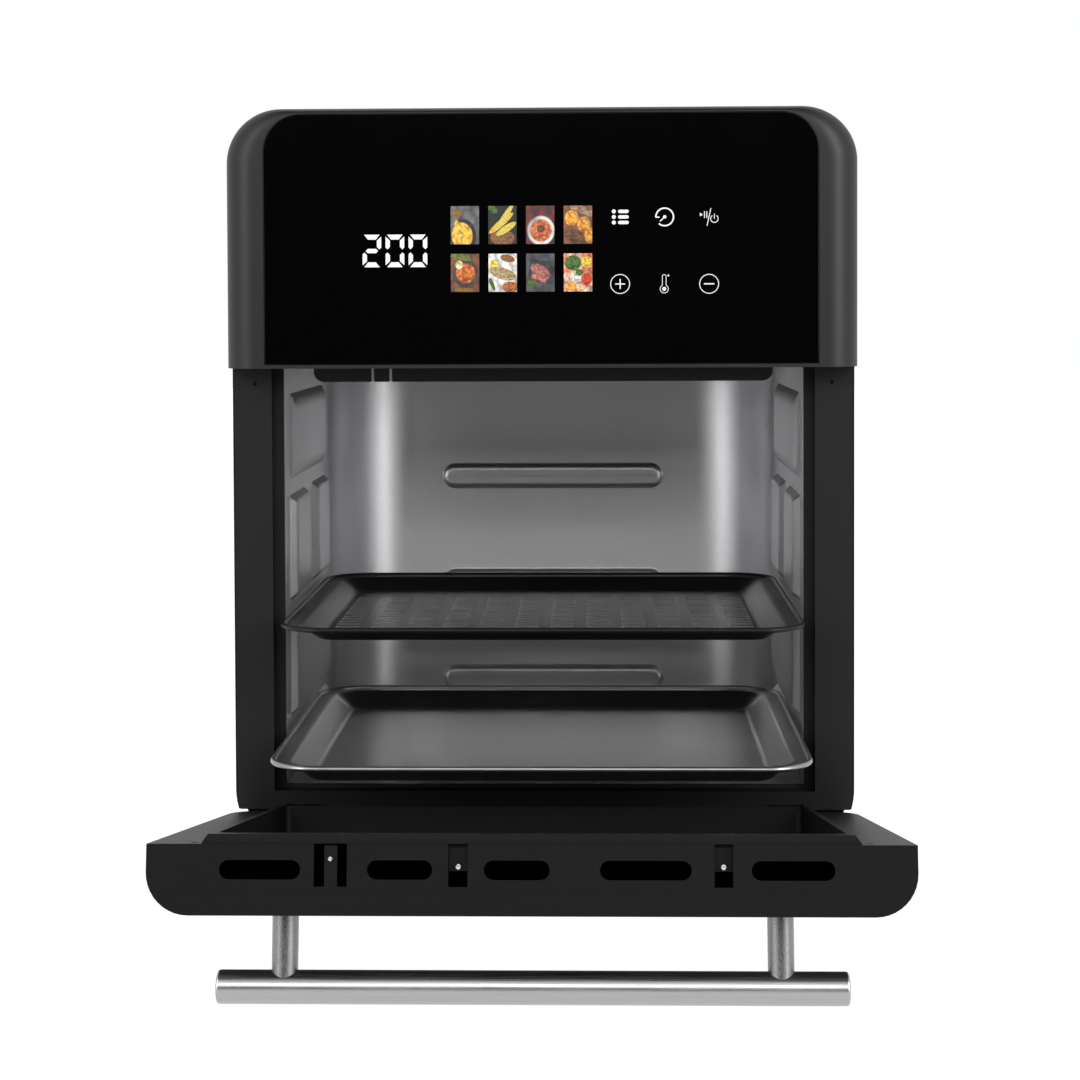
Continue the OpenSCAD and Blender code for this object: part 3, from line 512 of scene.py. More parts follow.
head = block("head_moulding", (-BODY_HALF, CHEEK - HEAD_OUT, HEAD_Z), (BODY_HALF, HEAD_BACK, BODY_TOP))
round_edges(head, UPPER_ROUND, lambda e: runs(e, 1) and centre(e).z > 390, 20)
mark(head, "FACE", faces_to((0, -1, 0)))
turn_in(10, CHEEK, 16.5, 3.5, BODY_HALF, BODY_TOP - HEAD_Z, CHEEK - HEAD_OUT, HEAD_Z)
bpy.ops.object.mode_set(mode="OBJECT")
mark(head, "FACE", faces_to((0, 1, 0)))
bpy.ops.mesh.delete(type="FACE")
work(head, "SOLIDIFY", thickness=2.5 * MM, offset=-1)
cut(head, block("open_underside", (-159.5, -0.2, HEAD_Z - 1), (159.5, HEAD_BACK + 1, HEAD_Z + 3.5)))
pocket = block("glass_pocket", (-141, -HEAD_OUT - 3, HEAD_Z + 1.8), (141, 2.9 - HEAD_OUT, HEAD_Z + 129.2))
round_edges(pocket, 19.2, lambda e: runs(e, 1) and centre(e).z > 390, 20)
cut(head, pocket)
soften(head, 0.35, 2, 35)
fit(head, "root", satin_plastic, "head_plastic", "head_housing")


# ---- Control glass ----
# A pane of black glass set flush in the head, with round upper corners.
# Behind it lie the display, the touch board and its ribbon, which keep the frame's shapes.
control_black = grained("control_black", (0.0008, 0.0008, 0.0010), 0.045, grain=(40, 40, 40), tint=0.05,
                        spread=0.01, depth=0.0002, smudge=0.02, Specular_IOR_Level=0.2)
glass = block("control_pane", (-140.8, -HEAD_OUT, HEAD_Z + 2), (140.8, 3 - HEAD_OUT, HEAD_Z + 129))
round_edges(glass, 19, lambda e: runs(e, 1) and centre(e).z > 390, 20)
round_edges(glass, 1.5, lambda e: runs(e, 1) and centre(e).z < 280, 4)
fit(soften(glass, 0.3, 3), "root", control_black, "control_glass", "control_glass")

green_board = grained("green_board", (0.02, 0.13, 0.05), 0.4, grain=(420, 420, 420), tint=0.5, smudge=0.1)
grey_ribbon = grained("grey_ribbon", (0.36, 0.36, 0.38), 0.55, grain=(1800, 60, 60), tint=0.4)
dress(moulded_black, "display_module")
dress(green_board, "touch_board")
dress(bright_steel, "board_screws")
dress(grey_ribbon, "ribbon_cable")


# ---- Lit figures and signs ----
# White segments show the temperature, and thin white signs mark the six touch keys.
# Each is a thin lit patch that stands a little proud of the glass.
PRINT_Y = -HEAD_OUT - 0.06
INK_Y = -HEAD_OUT + 0.02

lit_white = grained("lit_white", (0.05, 0.05, 0.05), 0.5, tint=0.03, Emission_Color=(1, 1, 1, 1),
                    Emission_Strength=0.95)


def printed(outline):
    """A printed patch. Its outline runs counter-clockwise, seen from the front."""
    bare()
    bpy.ops.mesh.primitive_circle_add(vertices=len(outline), fill_type="NGON", location=(0, 0, 0))
    patch = bpy.context.object
    for corner, (x, z) in zip(patch.data.vertices, outline):
        corner.co = at(x, PRINT_Y, z)
    mark(patch, "FACE", lambda f: True)
    bpy.ops.mesh.extrude_region_move(TRANSFORM_OT_translate={"value": (0, (INK_Y - PRINT_Y) * MM, 0)})
    bpy.ops.mesh.select_all(action="SELECT")
    bpy.ops.mesh.normals_make_consistent(inside=False)
    bpy.ops.object.mode_set(mode="OBJECT")
    return patch


def around(x, z, radius, start, end, steps):
    """Points along an arc. Angles are in degrees, from the right over the top."""
    turns = [radians(start + (end - start) * i / steps) for i in range(steps + 1)]
    return [(x + radius * cos(turn), z + radius * sin(turn)) for turn in turns]


def stroke(x0, z0, x1, z1, width):
    """A straight line with round ends."""
    turn = degrees(atan2(z1 - z0, x1 - x0))
    return printed(around(x1, z1, width / 2, turn - 90, turn + 90, 8)
                   + around(x0, z0, width / 2, turn + 90, turn + 270, 8))


def arc(x, z, radius, width, start, end):
    """A curved line with square ends."""
    steps = int((end - start) / 6)
    return printed(around(x, z, radius + width / 2, start, end, steps)
                   + around(x, z, radius - width / 2, end, start, steps))


def ring(x, z, radius, width):
    return joined("ring", [arc(x, z, radius, width, 0, 180), arc(x, z, radius, width, 180, 360)])


def dot(x, z, radius):
    return printed(around(x, z, radius, 0, 348, 29))


WIDE, TALL, BAR = 9.5, 16.5, 2.5
TOP = [(BAR + 0.3, TALL - BAR), (WIDE - BAR - 0.3, TALL - BAR), (WIDE - 0.8, TALL), (0.8, TALL)]
MIDDLE = (around(BAR + 0.2, TALL / 2, 1.1, 90, 270, 2)
          + around(WIDE - BAR - 0.2, TALL / 2, 1.1, -90, 90, 2))
SIDE = [(WIDE, TALL / 2 + 1.7), (WIDE, TALL - 1), (WIDE - 2.2, TALL - 3), (WIDE - 2.2, TALL / 2 + 2.1),
        (WIDE - 1, TALL / 2 + 0.8)]
SEGMENTS = {"a": (TOP, 1, 1), "b": (SIDE, 1, 1), "c": (SIDE, 1, -1), "d": (TOP, 1, -1), "e": (SIDE, -1, -1),
            "f": (SIDE, -1, 1), "g": (MIDDLE, 1, 1)}


def figure(left, low, lit):
    """One seven-segment figure, made of three kinds of bar and their mirror images."""
    bars = []
    for name in lit:
        outline, across, up = SEGMENTS[name]
        places = [(left + (x if across > 0 else WIDE - x), low + (z if up > 0 else TALL - z)) for x, z in outline]
        bars.append(printed(places if across * up > 0 else places[::-1]))
    return bars


FIGURE_Z = 320.8
figures = figure(-90.35, FIGURE_Z, "abged") + figure(-78.65, FIGURE_Z, "abcdef") + figure(-66.95, FIGURE_Z, "abcdef")
fit(joined("temperature_figures", figures), "root", lit_white, "display")

signs = []
for row in (348.5, 345.7, 342.9):
    signs += [dot(37.2, row, 1), stroke(40.2, row, 43.9, row, 1.7)]
signs += [arc(62.9, 345.6, 4.45, 0.7, -132, 180), stroke(58.5, 345.5, 60.1, 345.5, 0.6),
          stroke(62.9, 345.6, 60.7, 343.5, 0.5), dot(62.9, 345.6, 0.85)]
signs += [printed([(80.7, 345.8), (82.2, 346.7), (80.7, 347.6)]), stroke(83, 345.1, 83, 348.2, 0.4),
          stroke(84.2, 345.1, 84.2, 348.2, 0.4), stroke(84.3, 341.2, 86.2, 349.7, 0.4),
          arc(88, 344.6, 1.9, 0.35, 125, 415), stroke(88, 344.7, 88, 347, 0.35)]
signs += [ring(40.3, 311.8, 4.8, 0.38), stroke(38, 311.8, 42.6, 311.8, 0.55), stroke(40.3, 309.5, 40.3, 314.1, 0.55)]
signs += [arc(62.6, 309.2, 2.05, 0.3, 118, 422), stroke(61.65, 311, 61.65, 315.5, 0.3),
          stroke(63.55, 311, 63.55, 315.5, 0.3), arc(62.6, 315.5, 0.95, 0.3, 0, 180), dot(62.6, 309.2, 1),
          dot(64.7, 316, 0.45)]
signs += [ring(85.3, 311.7, 4.8, 0.38), stroke(82.9, 311.7, 87.7, 311.7, 0.6)]
fit(joined("touch_signs", signs), "root", lit_white, "display")


# ---- Food pictures ----
# Eight small lit pictures in two rows on the glass, one for each programme.
# Each shows a simple dish as patches of mottled colour.
def picture(name, middle, ground, things):
    """A lit picture: a mottled ground with food laid over it, one thing after another.
    A thing is its middle, its half sizes, its turn, its shape, its number of bits and its two colours."""
    finish = bpy.data.materials.new(name)
    finish.use_nodes = True
    nodes, links = finish.node_tree.nodes, finish.node_tree.links
    skin = nodes["Principled BSDF"]
    skin.inputs["Base Color"].default_value = (0.01, 0.01, 0.01, 1)
    skin.inputs["Roughness"].default_value = 0.3
    skin.inputs["Emission Strength"].default_value = 1.45

    def node(kind, **sources):
        """A node, with each of its sockets linked to another one or given a value."""
        made = nodes.new(kind)
        if kind == "ShaderNodeMix":
            made.data_type = "RGBA"
        for name, source in sources.items():
            socket = made.inputs[name.replace("_", " ")]
            if hasattr(source, "is_linked"):
                links.new(source, socket)
            else:
                socket.default_value = source
        return made

    def bits(vector, count, one, other):
        """Lumps of two colours, darker towards their edges."""
        cells = node("ShaderNodeTexVoronoi", Vector=vector, Scale=count, Randomness=1.0)
        split = node("ShaderNodeSeparateColor", Color=cells.outputs["Color"])
        colour = node("ShaderNodeMix", Factor=split.outputs["Red"], A=(*one, 1), B=(*other, 1))
        fade = node("ShaderNodeMapRange", Value=cells.outputs["Distance"], From_Min=0.25, From_Max=0.85, To_Min=1.0,
                    To_Max=0.3)
        shaded = node("ShaderNodeMix", Factor=1.0, A=colour.outputs["Result"], B=fade.outputs["Result"])
        shaded.blend_type = "MULTIPLY"
        return shaded.outputs["Result"]

    place = node("ShaderNodeTexCoord")
    spread = Vector((2 / (TILE_W * MM), 0, 2 / (TILE_H * MM)))
    tile = node("ShaderNodeMapping", Vector=place.outputs["Object"], Scale=spread,
                Location=[-s * m for s, m in zip(spread, at(middle[0], 0, middle[1]))])
    colour = bits(tile.outputs["Vector"], *ground)
    for (x, z), (half_x, half_z), turn, shape, count, one, other in things:
        own = node("ShaderNodeMapping", Vector=tile.outputs["Vector"], Location=(x, 0, z),
                   Rotation=(0, radians(turn), 0), Scale=(half_x, 1, half_z))
        own.vector_type = "TEXTURE"
        reach = nodes.new("ShaderNodeVectorMath")
        links.new(own.outputs["Vector"], reach.inputs[0])
        if shape == "square":
            reach.operation = "ABSOLUTE"
            parts = node("ShaderNodeSeparateXYZ", Vector=reach.outputs["Vector"])
            longer = nodes.new("ShaderNodeMath")
            longer.operation = "MAXIMUM"
            links.new(parts.outputs["X"], longer.inputs[0])
            links.new(parts.outputs["Z"], longer.inputs[1])
            far = longer.outputs["Value"]
        else:
            reach.operation = "LENGTH"
            far = reach.outputs["Value"]
        cover = node("ShaderNodeMapRange", Value=far, From_Min=1.0, From_Max=0.9)
        over = node("ShaderNodeMix", Factor=cover.outputs["Result"], A=colour,
                    B=bits(own.outputs["Vector"], count, one, other))
        colour = over.outputs["Result"]
    links.new(colour, skin.inputs["Emission Color"])
    return finish


TILE_W, TILE_H, TILE_PITCH = 14.4, 19.3, 19.1
TILES_LEFT, TILE_ROWS = -45.5, (341.9, 317.75)
GOLD, DEEP_GOLD, CRUST = (0.85, 0.42, 0.04), (0.55, 0.17, 0.01), (0.22, 0.07, 0.02)
WOOD, DARK_WOOD = (0.16, 0.06, 0.03), (0.05, 0.02, 0.012)
SLATE, BLACK = (0.05, 0.055, 0.06), (0.004, 0.004, 0.004)
PLATE, LEAF, DARK_LEAF = (0.75, 0.72, 0.68), (0.10, 0.22, 0.02), (0.02, 0.07, 0.01)
CORN, LEMON, CREAM = (0.8, 0.62, 0.05), (0.75, 0.6, 0.15), (0.75, 0.66, 0.5)
SHRIMP, RED = (0.75, 0.2, 0.07), (0.5, 0.03, 0.01)
dishes = [
    ("fries", (2.2, (0.14, 0.14, 0.145), (0.09, 0.09, 0.095)), [
        ((-0.55, 0.62), (0.4, 0.2), 0, "round", 4, LEAF, RED),
        ((-0.1, -0.55), (0.95, 0.9), 0, "round", 3, BLACK, DARK_WOOD),
        ((-0.2, -0.55), (0.78, 0.72), 20, "round", 2.6, GOLD, (0.9, 0.6, 0.12)),
        ((-0.3, -0.1), (0.5, 0.16), 35, "square", 1.5, GOLD, CORN),
        ((0.0, -0.6), (0.5, 0.13), -30, "square", 1.5, CORN, GOLD)]),
    ("corn", (2, BLACK, (0.008, 0.008, 0.007)), [
        ((-0.7, 0.85), (0.4, 0.2), 30, "round", 3, LEAF, DARK_LEAF),
        ((0.0, -0.68), (0.9, 0.42), 0, "round", 7, WOOD, (0.35, 0.16, 0.05)),
        ((-0.1, 0.1), (1.05, 0.2), -32, "round", 12, CORN, GOLD),
        ((0.15, 0.42), (1.0, 0.17), -48, "round", 12, CORN, LEMON),
        ((0.25, -0.2), (0.8, 0.2), -25, "round", 12, LEMON, CORN)]),
    ("shrimp", (2, (0.18, 0.02, 0.012), (0.03, 0.01, 0.008)), [
        ((0.05, -0.3), (1.0, 0.8), 0, "round", 1, PLATE, (0.6, 0.58, 0.55)),
        ((0.05, -0.3), (0.8, 0.62), 0, "round", 4.5, SHRIMP, (0.5, 0.1, 0.03)),
        ((0.05, -0.2), (0.3, 0.22), 0, "round", 4, DARK_LEAF, (0.3, 0.04, 0.02))]),
    ("muffins", (2, CRUST, WOOD), [
        ((0.3, 0.7), (0.9, 0.3), 15, "round", 3, (0.45, 0.3, 0.16), WOOD),
        ((-0.45, 0.35), (0.5, 0.42), 0, "round", 2.5, GOLD, (0.9, 0.32, 0.02)),
        ((0.4, 0.02), (0.48, 0.4), 0, "round", 2.5, GOLD, DEEP_GOLD),
        ((-0.2, -0.6), (0.85, 0.36), 12, "round", 3, CRUST, DARK_WOOD),
        ((0.85, -0.55), (0.42, 0.42), 0, "round", 2.5, DEEP_GOLD, GOLD)]),
    ("drumsticks", (2.5, WOOD, CRUST), [
        ((-0.3, 0.8), (0.8, 0.25), 10, "round", 3, LEAF, (0.2, 0.12, 0.03)),
        ((0.0, -0.05), (0.95, 0.72), 0, "round", 2, (0.03, 0.04, 0.05), SLATE),
        ((0.05, -0.02), (0.72, 0.55), 0, "round", 3.2, (0.8, 0.22, 0.03), (0.4, 0.08, 0.01)),
        ((-0.42, 0.42), (0.28, 0.24), 0, "round", 1, LEMON, CREAM),
        ((-0.1, -0.9), (0.7, 0.12), 0, "round", 5, LEAF, RED)]),
    ("fish", (2.5, PLATE, (0.85, 0.83, 0.8)), [
        ((-0.6, 0.42), (0.36, 0.28), 0, "round", 2, LEMON, CORN),
        ((0.35, 0.75), (0.55, 0.2), 10, "round", 5, RED, LEAF),
        ((0.0, -0.05), (1.05, 0.33), 12, "round", 6, (0.35, 0.22, 0.09), (0.6, 0.45, 0.25)),
        ((0.55, -0.75), (0.6, 0.3), 0, "round", 4, (0.6, 0.16, 0.03), (0.25, 0.08, 0.02)),
        ((-0.75, -0.6), (0.14, 0.4), -30, "round", 4, DARK_LEAF, LEAF)]),
    ("steak", (2, SLATE, (0.08, 0.09, 0.1)), [
        ((0.1, 0.05), (0.95, 0.62), 8, "square", 2, (0.012, 0.013, 0.015), SLATE),
        ((0.0, 0.05), (0.75, 0.36), 22, "round", 4.5, (0.35, 0.08, 0.06), (0.5, 0.22, 0.18)),
        ((-0.6, -0.55), (0.35, 0.2), 0, "round", 5, LEAF, DARK_LEAF),
        ((-0.1, -0.32), (0.55, 0.12), 15, "square", 3, (0.6, 0.3, 0.26), RED)]),
    ("vegetables", (4, (0.75, 0.12, 0.02), CREAM), [
        ((-0.35, 0.5), (0.62, 0.42), 0, "round", 4, LEAF, DARK_LEAF),
        ((0.6, 0.55), (0.4, 0.3), 0, "round", 3, CORN, GOLD),
        ((-0.1, -0.2), (0.5, 0.3), 0, "round", 3, CREAM, PLATE),
        ((-0.5, -0.75), (0.35, 0.22), 0, "round", 2, GOLD, (0.9, 0.35, 0.03)),
        ((0.6, -0.35), (0.4, 0.35), 0, "round", 3, (0.7, 0.06, 0.01), RED),
        ((0.2, -0.8), (0.32, 0.2), 0, "round", 3, CREAM, GOLD),
        ((0.1, 0.0), (0.3, 0.18), 0, "round", 3, DARK_LEAF, LEAF)]),
]
for number, (dish, ground, things) in enumerate(dishes):
    x = TILES_LEFT + TILE_W / 2 + TILE_PITCH * (number % 4)
    z = TILE_ROWS[number // 4]
    tile = block("programme_" + dish, (x - TILE_W / 2, PRINT_Y, z - TILE_H / 2),
                 (x + TILE_W / 2, INK_Y, z + TILE_H / 2))
    round_edges(tile, 0.25, lambda e: runs(e, 1), 2)
    fit(tile, "root", picture("picture_" + dish, (x, z), ground, things), "display")


# ---- Trays ----
# Two pressed trays with a flat rim rolled at its edge. The upper one is punched with slots and coated
# with black non-stick, and the lower one is plain satin steel that catches drips.
TRAY_W, TRAY_D, ROLL = 268.6, 235, 1.4
TRAY_ROUND, RIM, SLOPE = 28, 9.5, 11
DRIP_OUT, DRIP_DEEP = 87.3, 9
CRISPER_OUT, CRISPER_DEEP = 48, 7
SLOT_COLUMNS, SLOT_ROWS = 12, 14
SLOT_PITCH_X, SLOT_PITCH_Y = 19, 9.8

non_stick = grained("non_stick", (0.006, 0.006, 0.0063), 0.30, grain=(1100, 1100, 1100), tint=0.5, spread=0.06,
                    depth=0.03, Specular_IOR_Level=0.16)
# The cut walls of the slots take a brighter steel finish, a painted highlight that makes the slots read light.
slot_wall_painted_highlight = grained("slot_wall_painted_highlight", (0.12, 0.12, 0.125), 0.35, 0.8, grain=(1800, 1800, 1800), tint=0.3)
tray_steel = grained("tray_steel", (0.29, 0.29, 0.29), 0.30, 1.0, grain=(120, 1800, 1800), tint=0.08, spread=0.05,
                     depth=0.01)


def pressed_tray(name, level, out, deep):
    """A sheet with round corners, pressed down into a pan with sloping sides, and rolled at its edge."""
    middle = at(0, TRAY_D / 2 - out, level + 1.2)
    bare()
    bpy.ops.mesh.primitive_plane_add(size=1, location=middle)
    tray = bpy.context.object
    tray.name = name
    tray.scale = ((TRAY_W - 4 * ROLL) * MM, (TRAY_D - 4 * ROLL) * MM, 1)
    settle(tray)
    mark(tray, "VERT", lambda v: True)
    bpy.ops.mesh.bevel(offset=(TRAY_ROUND - 2 * ROLL) * MM, segments=14, affect="VERTICES")
    bpy.ops.object.mode_set(mode="OBJECT")
    mark(tray, "FACE", lambda f: True)
    bpy.ops.mesh.inset(thickness=(RIM - 2 * ROLL) * MM)
    bpy.ops.mesh.inset(thickness=SLOPE * MM, depth=-deep * MM)
    bpy.ops.mesh.inset(thickness=1.5 * MM)
    bpy.ops.object.mode_set(mode="OBJECT")
    work(tray, "BEVEL", width=2.2 * MM, segments=4, limit_method="ANGLE", angle_limit=radians(20))
    mark(tray, "EDGE", lambda e: e.is_boundary)
    ahead, up = -ROLL, 0.0
    for step in range(1, 13):
        turn = radians(180 - 27 * step)
        reach, rise = ROLL * cos(turn), ROLL * sin(turn)
        bpy.ops.mesh.extrude_edges_move(TRANSFORM_OT_translate={"value": (0, 0, (rise - up) * MM)})
        grow = [(side / 2 - ROLL + reach) / (side / 2 - ROLL + ahead) for side in (TRAY_W, TRAY_D)]
        bpy.ops.transform.resize(value=(*grow, 1), center_override=(middle.x, middle.y, middle.z))
        ahead, up = reach, rise
    bpy.ops.object.mode_set(mode="OBJECT")
    return work(tray, "SOLIDIFY", thickness=0.8 * MM, offset=-1)


drip = pressed_tray("steel_tray", LEVELS[0], DRIP_OUT, DRIP_DEEP)
fit(soften(drip, 0.15, 2, 50), "drip", tray_steel, "tray_steel", "drip_tray")

crisper = pressed_tray("crisping_tray", LEVELS[1], CRISPER_OUT, CRISPER_DEEP)
slot = block("slot", (-6.5, -2, 122), (6.5, 2, 140))
round_edges(slot, 1.2, lambda e: runs(e, 2), 3)
slot_middle = TRAY_D / 2 - CRISPER_OUT
slot.matrix_world = Matrix.Translation((-(SLOT_COLUMNS - 1) / 2 * SLOT_PITCH_X * MM,
                                        (slot_middle - (SLOT_ROWS - 1) / 2 * SLOT_PITCH_Y) * MM, 0))
settle(slot)
for count, pitch in ((SLOT_COLUMNS, (SLOT_PITCH_X, 0, 0)), (SLOT_ROWS, (0, SLOT_PITCH_Y, 0))):
    work(slot, "ARRAY", count=count, use_relative_offset=False, use_constant_offset=True,
         constant_offset_displace=[step * MM for step in pitch])
cut(crisper, slot)
fit(soften(crisper, 0.15, 2, 50), "crisper", non_stick, "non_stick", "crisper_tray")
crisper.data.materials.append(slot_wall_painted_highlight)


def in_slot(face):
    """True on the cut walls of the slots."""
    spot = face.calc_center_median()
    return (abs(face.normal.z) < 0.7 and spot.z < (LEVELS[1] - 4.6) * MM
            and abs(spot.x) < 111.5 * MM and abs(spot.y - at(0, slot_middle, 0).y) < 68 * MM)


# The slot walls get the painted highlight finish.
mark(crisper, "FACE", in_slot)
crisper.active_material_index = 1
bpy.ops.object.material_slot_assign()
bpy.ops.object.mode_set(mode="OBJECT")


# ---- Door frame ----
# The inner moulding of the door. A raised collar stands round a shallow recess with the inner glass in it,
# and the upper edge has five air slots and three screw pockets. It is made shut, then swung down on its hinges.
DOOR_HALF = 161.5
DOOR_LOW, DOOR_HIGH = 16, 268
DOOR_IN, DOOR_EDGE, DOOR_OUT = -0.5, -12, -30
DOOR_SPLIT = -20.6
HINGE = (0, -4, 33.4)
DOOR_TURN = 80.45
COLLAR_HALF, COLLAR_LOW, COLLAR_HIGH = 139, 47.4, 265.5
WEBS = (-107, 0.6, 111)
VENTS = ((-113.6, 34.2), (-54.8, 27.3), (-5.7, 27.6), (48.2, 38.3), (109.7, 34.8))
POCKETS = ((-90.8, -76.9), (-34.4, -26.3), (76.8, 84.5))
DOOR_SCREWS = ((-83.9, -6.6, 267.4, 0.9), (-30.3, -9.9, 265, 1.1), (80.7, -9.9, 265, 1.1))


def swing(piece):
    """Turns a piece made on the shut door to where the open door hangs."""
    hinge = at(*HINGE)
    piece.matrix_world = (Matrix.Translation(hinge) @ Matrix.Rotation(radians(DOOR_TURN), 4, "X")
                          @ Matrix.Translation(-hinge))
    return settle(piece)


def door_form(name, inset=0.0):
    """The whole door as one rounded slab."""
    half, low, high = DOOR_HALF - inset, DOOR_LOW + inset, DOOR_HIGH - inset
    piece = block(name, (-half, DOOR_EDGE, low), (half, DOOR_IN - inset, high))
    round_edges(piece, LOWER_ROUND - inset, lambda e: runs(e, 1) and centre(e).z < 50, 24)
    mark(piece, "FACE", faces_to((0, -1, 0)))
    deep = DOOR_EDGE - DOOR_OUT - inset
    turn_in(10, deep, deep, 9, half, DOOR_HIGH - DOOR_LOW - 2 * inset, DOOR_EDGE, high)
    bpy.ops.object.mode_set(mode="OBJECT")
    return piece


def flatten(piece):
    """Clears the seams that shaping leaves across flat faces."""
    mark(piece, "FACE", lambda f: True)
    bpy.ops.mesh.remove_doubles(threshold=0.000001)
    bpy.ops.mesh.dissolve_limited(angle_limit=radians(0.5))
    bpy.ops.object.mode_set(mode="OBJECT")
    return piece


door_black = grained("door_black", (0.0042, 0.0042, 0.0045), 0.44, grain=(1500, 1500, 1500), tint=0.2,
                     spread=0.06, depth=0.03, Specular_IOR_Level=0.11)
liner = cut(door_form("door_liner"), block("front_half", (-170, DOOR_SPLIT, 0), (170, 5, 280)), way="INTERSECT")
collar = block("collar", (-COLLAR_HALF, -0.6, COLLAR_LOW), (COLLAR_HALF, 3.5, COLLAR_HIGH))
mark(collar, "FACE", faces_to((0, 1, 0)))
bpy.ops.transform.resize(value=(136 / COLLAR_HALF, 1, 212.5 / 218.1), center_override=at(0, 3.5, 254))
bpy.ops.object.mode_set(mode="OBJECT")
cut(liner, collar, way="UNION")
hollow = cut(door_form("hollow", 2), block("well", (-135.5, -15.5, 49.5), (135.5, 0, 259.8)))
cut(liner, cut(hollow, *[block("web", (x - 0.7, -19, 250), (x + 0.7, 0, 267)) for x in WEBS]))
recess = block("recess", (-133, -12, 52), (133, 6, 258.5))
round_edges(recess, 4, lambda e: runs(e, 1), 5)
cut(liner, recess, block("sight", (-120, -25, 65), (120, 1, 245.5)))
for x, length in VENTS:
    vent = block("vent", (x - length / 2, -15.1, 262), (x + length / 2, -7.1, 270))
    cut(liner, round_edges(vent, 3.95, lambda e: runs(e, 2), 10))
for x0, x1 in POCKETS:
    cut(liner, block("boss", (x0 - 1, -19, 261), (x1 + 1, -2.5, 266)), way="UNION")
    cut(liner, block("pocket", (x0, -18, 263), (x1, -0.45, 269)))
for x0, x1 in POCKETS[1:]:
    cut(liner, block("shelf", (x0 - 0.5, -11.7, 262), (x1 + 0.5, -2, 265)), way="UNION")
cut(liner, block("finger", (-86.4, -18.5, 262), (-81, -1.2, 267.9)), way="UNION")
for side in (-1, 1):
    cut(liner, block("hinge_room", (side * HINGE_ROOM[0], -14, 18.5), (side * HINGE_ROOM[1], 1, 39.5)),
        block("arm_slot", (side * 123, -12, 10), (side * 129, 1, 20)),
        rod("pin_hole", (side * 142.5, -6, 259.5), (side * 142.5, 2, 259.5), 1.7, 24))
fit(soften(flatten(liner), 0.4, 3, 35), "door", door_black, "frame_plastic", "door_frame")
# The faces inside the air space under the upper edge are painted near black and unreflecting, a painted shade that
# keeps the air slots dark.
duct_painted_shade = grained("duct_painted_shade", (0.0004, 0.0004, 0.0004), 0.8, Specular_IOR_Level=0)
liner.data.materials.append(duct_painted_shade)


def in_duct(face):
    """True inside the air space under the upper edge, but not on the ledges of the screw pockets. These faces take
    the painted shade.
    """
    spot = face.calc_center_median()
    ledge = face.normal.z > 0.9 and spot.z > 0.2645
    return 0.259 < spot.z < 0.2663 and -0.028 < spot.y - FRONT < -0.0022 and not ledge


mark(liner, "FACE", in_duct)
liner.active_material_index = 1
bpy.ops.object.material_slot_assign()
swing(liner)

heads = [screw_head(x, y, z, radius, (0, 0, 1), 1.2) for x, y, z, radius in DOOR_SCREWS]
fit(swing(soften(joined("door_screw_heads", heads), 0.3)), "door", bright_steel, "bright_steel", "door_screws")
dress(galvanised, "hinge_arms", "hinge_knuckles")
dress(bright_steel, "hinge_pins")
dress(rubber, "door_stops")


# ---- Door glass ----
# A tinted inner pane lies behind the recess on its gasket.
# Clips hold it there. A black outer pane is set in the outer moulding.
dark_pane = grained("dark_pane", (0.012, 0.012, 0.013), 0.06, grain=(60, 60, 60), spread=0.02, depth=0.0004,
                    smudge=0.05)
pane = block("inner_pane", (-126, -19.5, 59), (126, -16.3, 251.5))
round_edges(pane, 4, lambda e: runs(e, 1), 4)
fit(swing(soften(pane, 0.4)), "door", dark_pane, "door_glass_inner", "door_inner_glass")
pane = block("outer_pane", (-126, DOOR_OUT, 44), (126, DOOR_OUT + 4, 222))
round_edges(pane, 12, lambda e: runs(e, 1), 10)
fit(swing(soften(pane, 0.3, 3)), "door", control_black, "door_glass_outer", "door_outer_glass")
dress(bright_steel, "glass_clips")
dress(rubber, "glass_gasket")


# ---- Door face ----
# The outer moulding, clipped to the frame along a fine groove, with the outer glass in its window.
# Its upright edges and its lower edge are deeply rounded.
face = cut(door_form("door_cover"), block("outer_half", (-170, -40, 0), (170, DOOR_SPLIT, 280)), way="INTERSECT")
room = cut(door_form("room", 2.5), block("depth", (-170, -25.5, 0), (170, 0, 280)), way="INTERSECT")
window = block("window", (-126.2, -34, 43.8), (126.2, -26, 222.2))
sight = round_edges(block("sight", (-120, -40, 50), (120, 0, 216)), 8, lambda e: runs(e, 1), 8)
cut(face, room, round_edges(window, 12.2, lambda e: runs(e, 1), 10), sight)
soften(flatten(face), 0.4, 3, 35)
fit(swing(face), "door", door_black, "frame_plastic", "door_face")


# ---- Handle ----
# A brushed stainless tube with plugged ends.
# It is carried on two round posts that are screwed through the door face.
BAR_Y, BAR_Z, BAR_R, BAR_HALF = -62.7, 238.5, 7.2, 135.15
POST_X, POST_R = 106.25, 5.7

brushed = grained("brushed_bar", (0.38, 0.38, 0.38), 0.27, 1.0, grain=(25, 3200, 3200), tint=0.14, spread=0.08,
                  depth=0.012)
bar = rod("handle_tube", (-BAR_HALF, BAR_Y, BAR_Z), (BAR_HALF, BAR_Y, BAR_Z), BAR_R, 96)
round_edges(bar, 1.3, lambda e: abs(centre(e).x) > BAR_HALF - 0.1, 4)
mark(bar, "FACE", lambda f: abs(f.normal.x) > 0.99)
bpy.ops.mesh.inset(thickness=1.1 * MM, use_individual=True)
bpy.ops.mesh.inset(thickness=0.15 * MM, depth=-0.5 * MM, use_individual=True)
bpy.ops.mesh.inset(thickness=0.25 * MM, depth=0.4 * MM, use_individual=True)
bpy.ops.object.mode_set(mode="OBJECT")
fit(swing(soften(bar, 0.35, 3, 60)), "door", brushed, "handle_steel", "handle_bar", "handle_caps")
posts = []
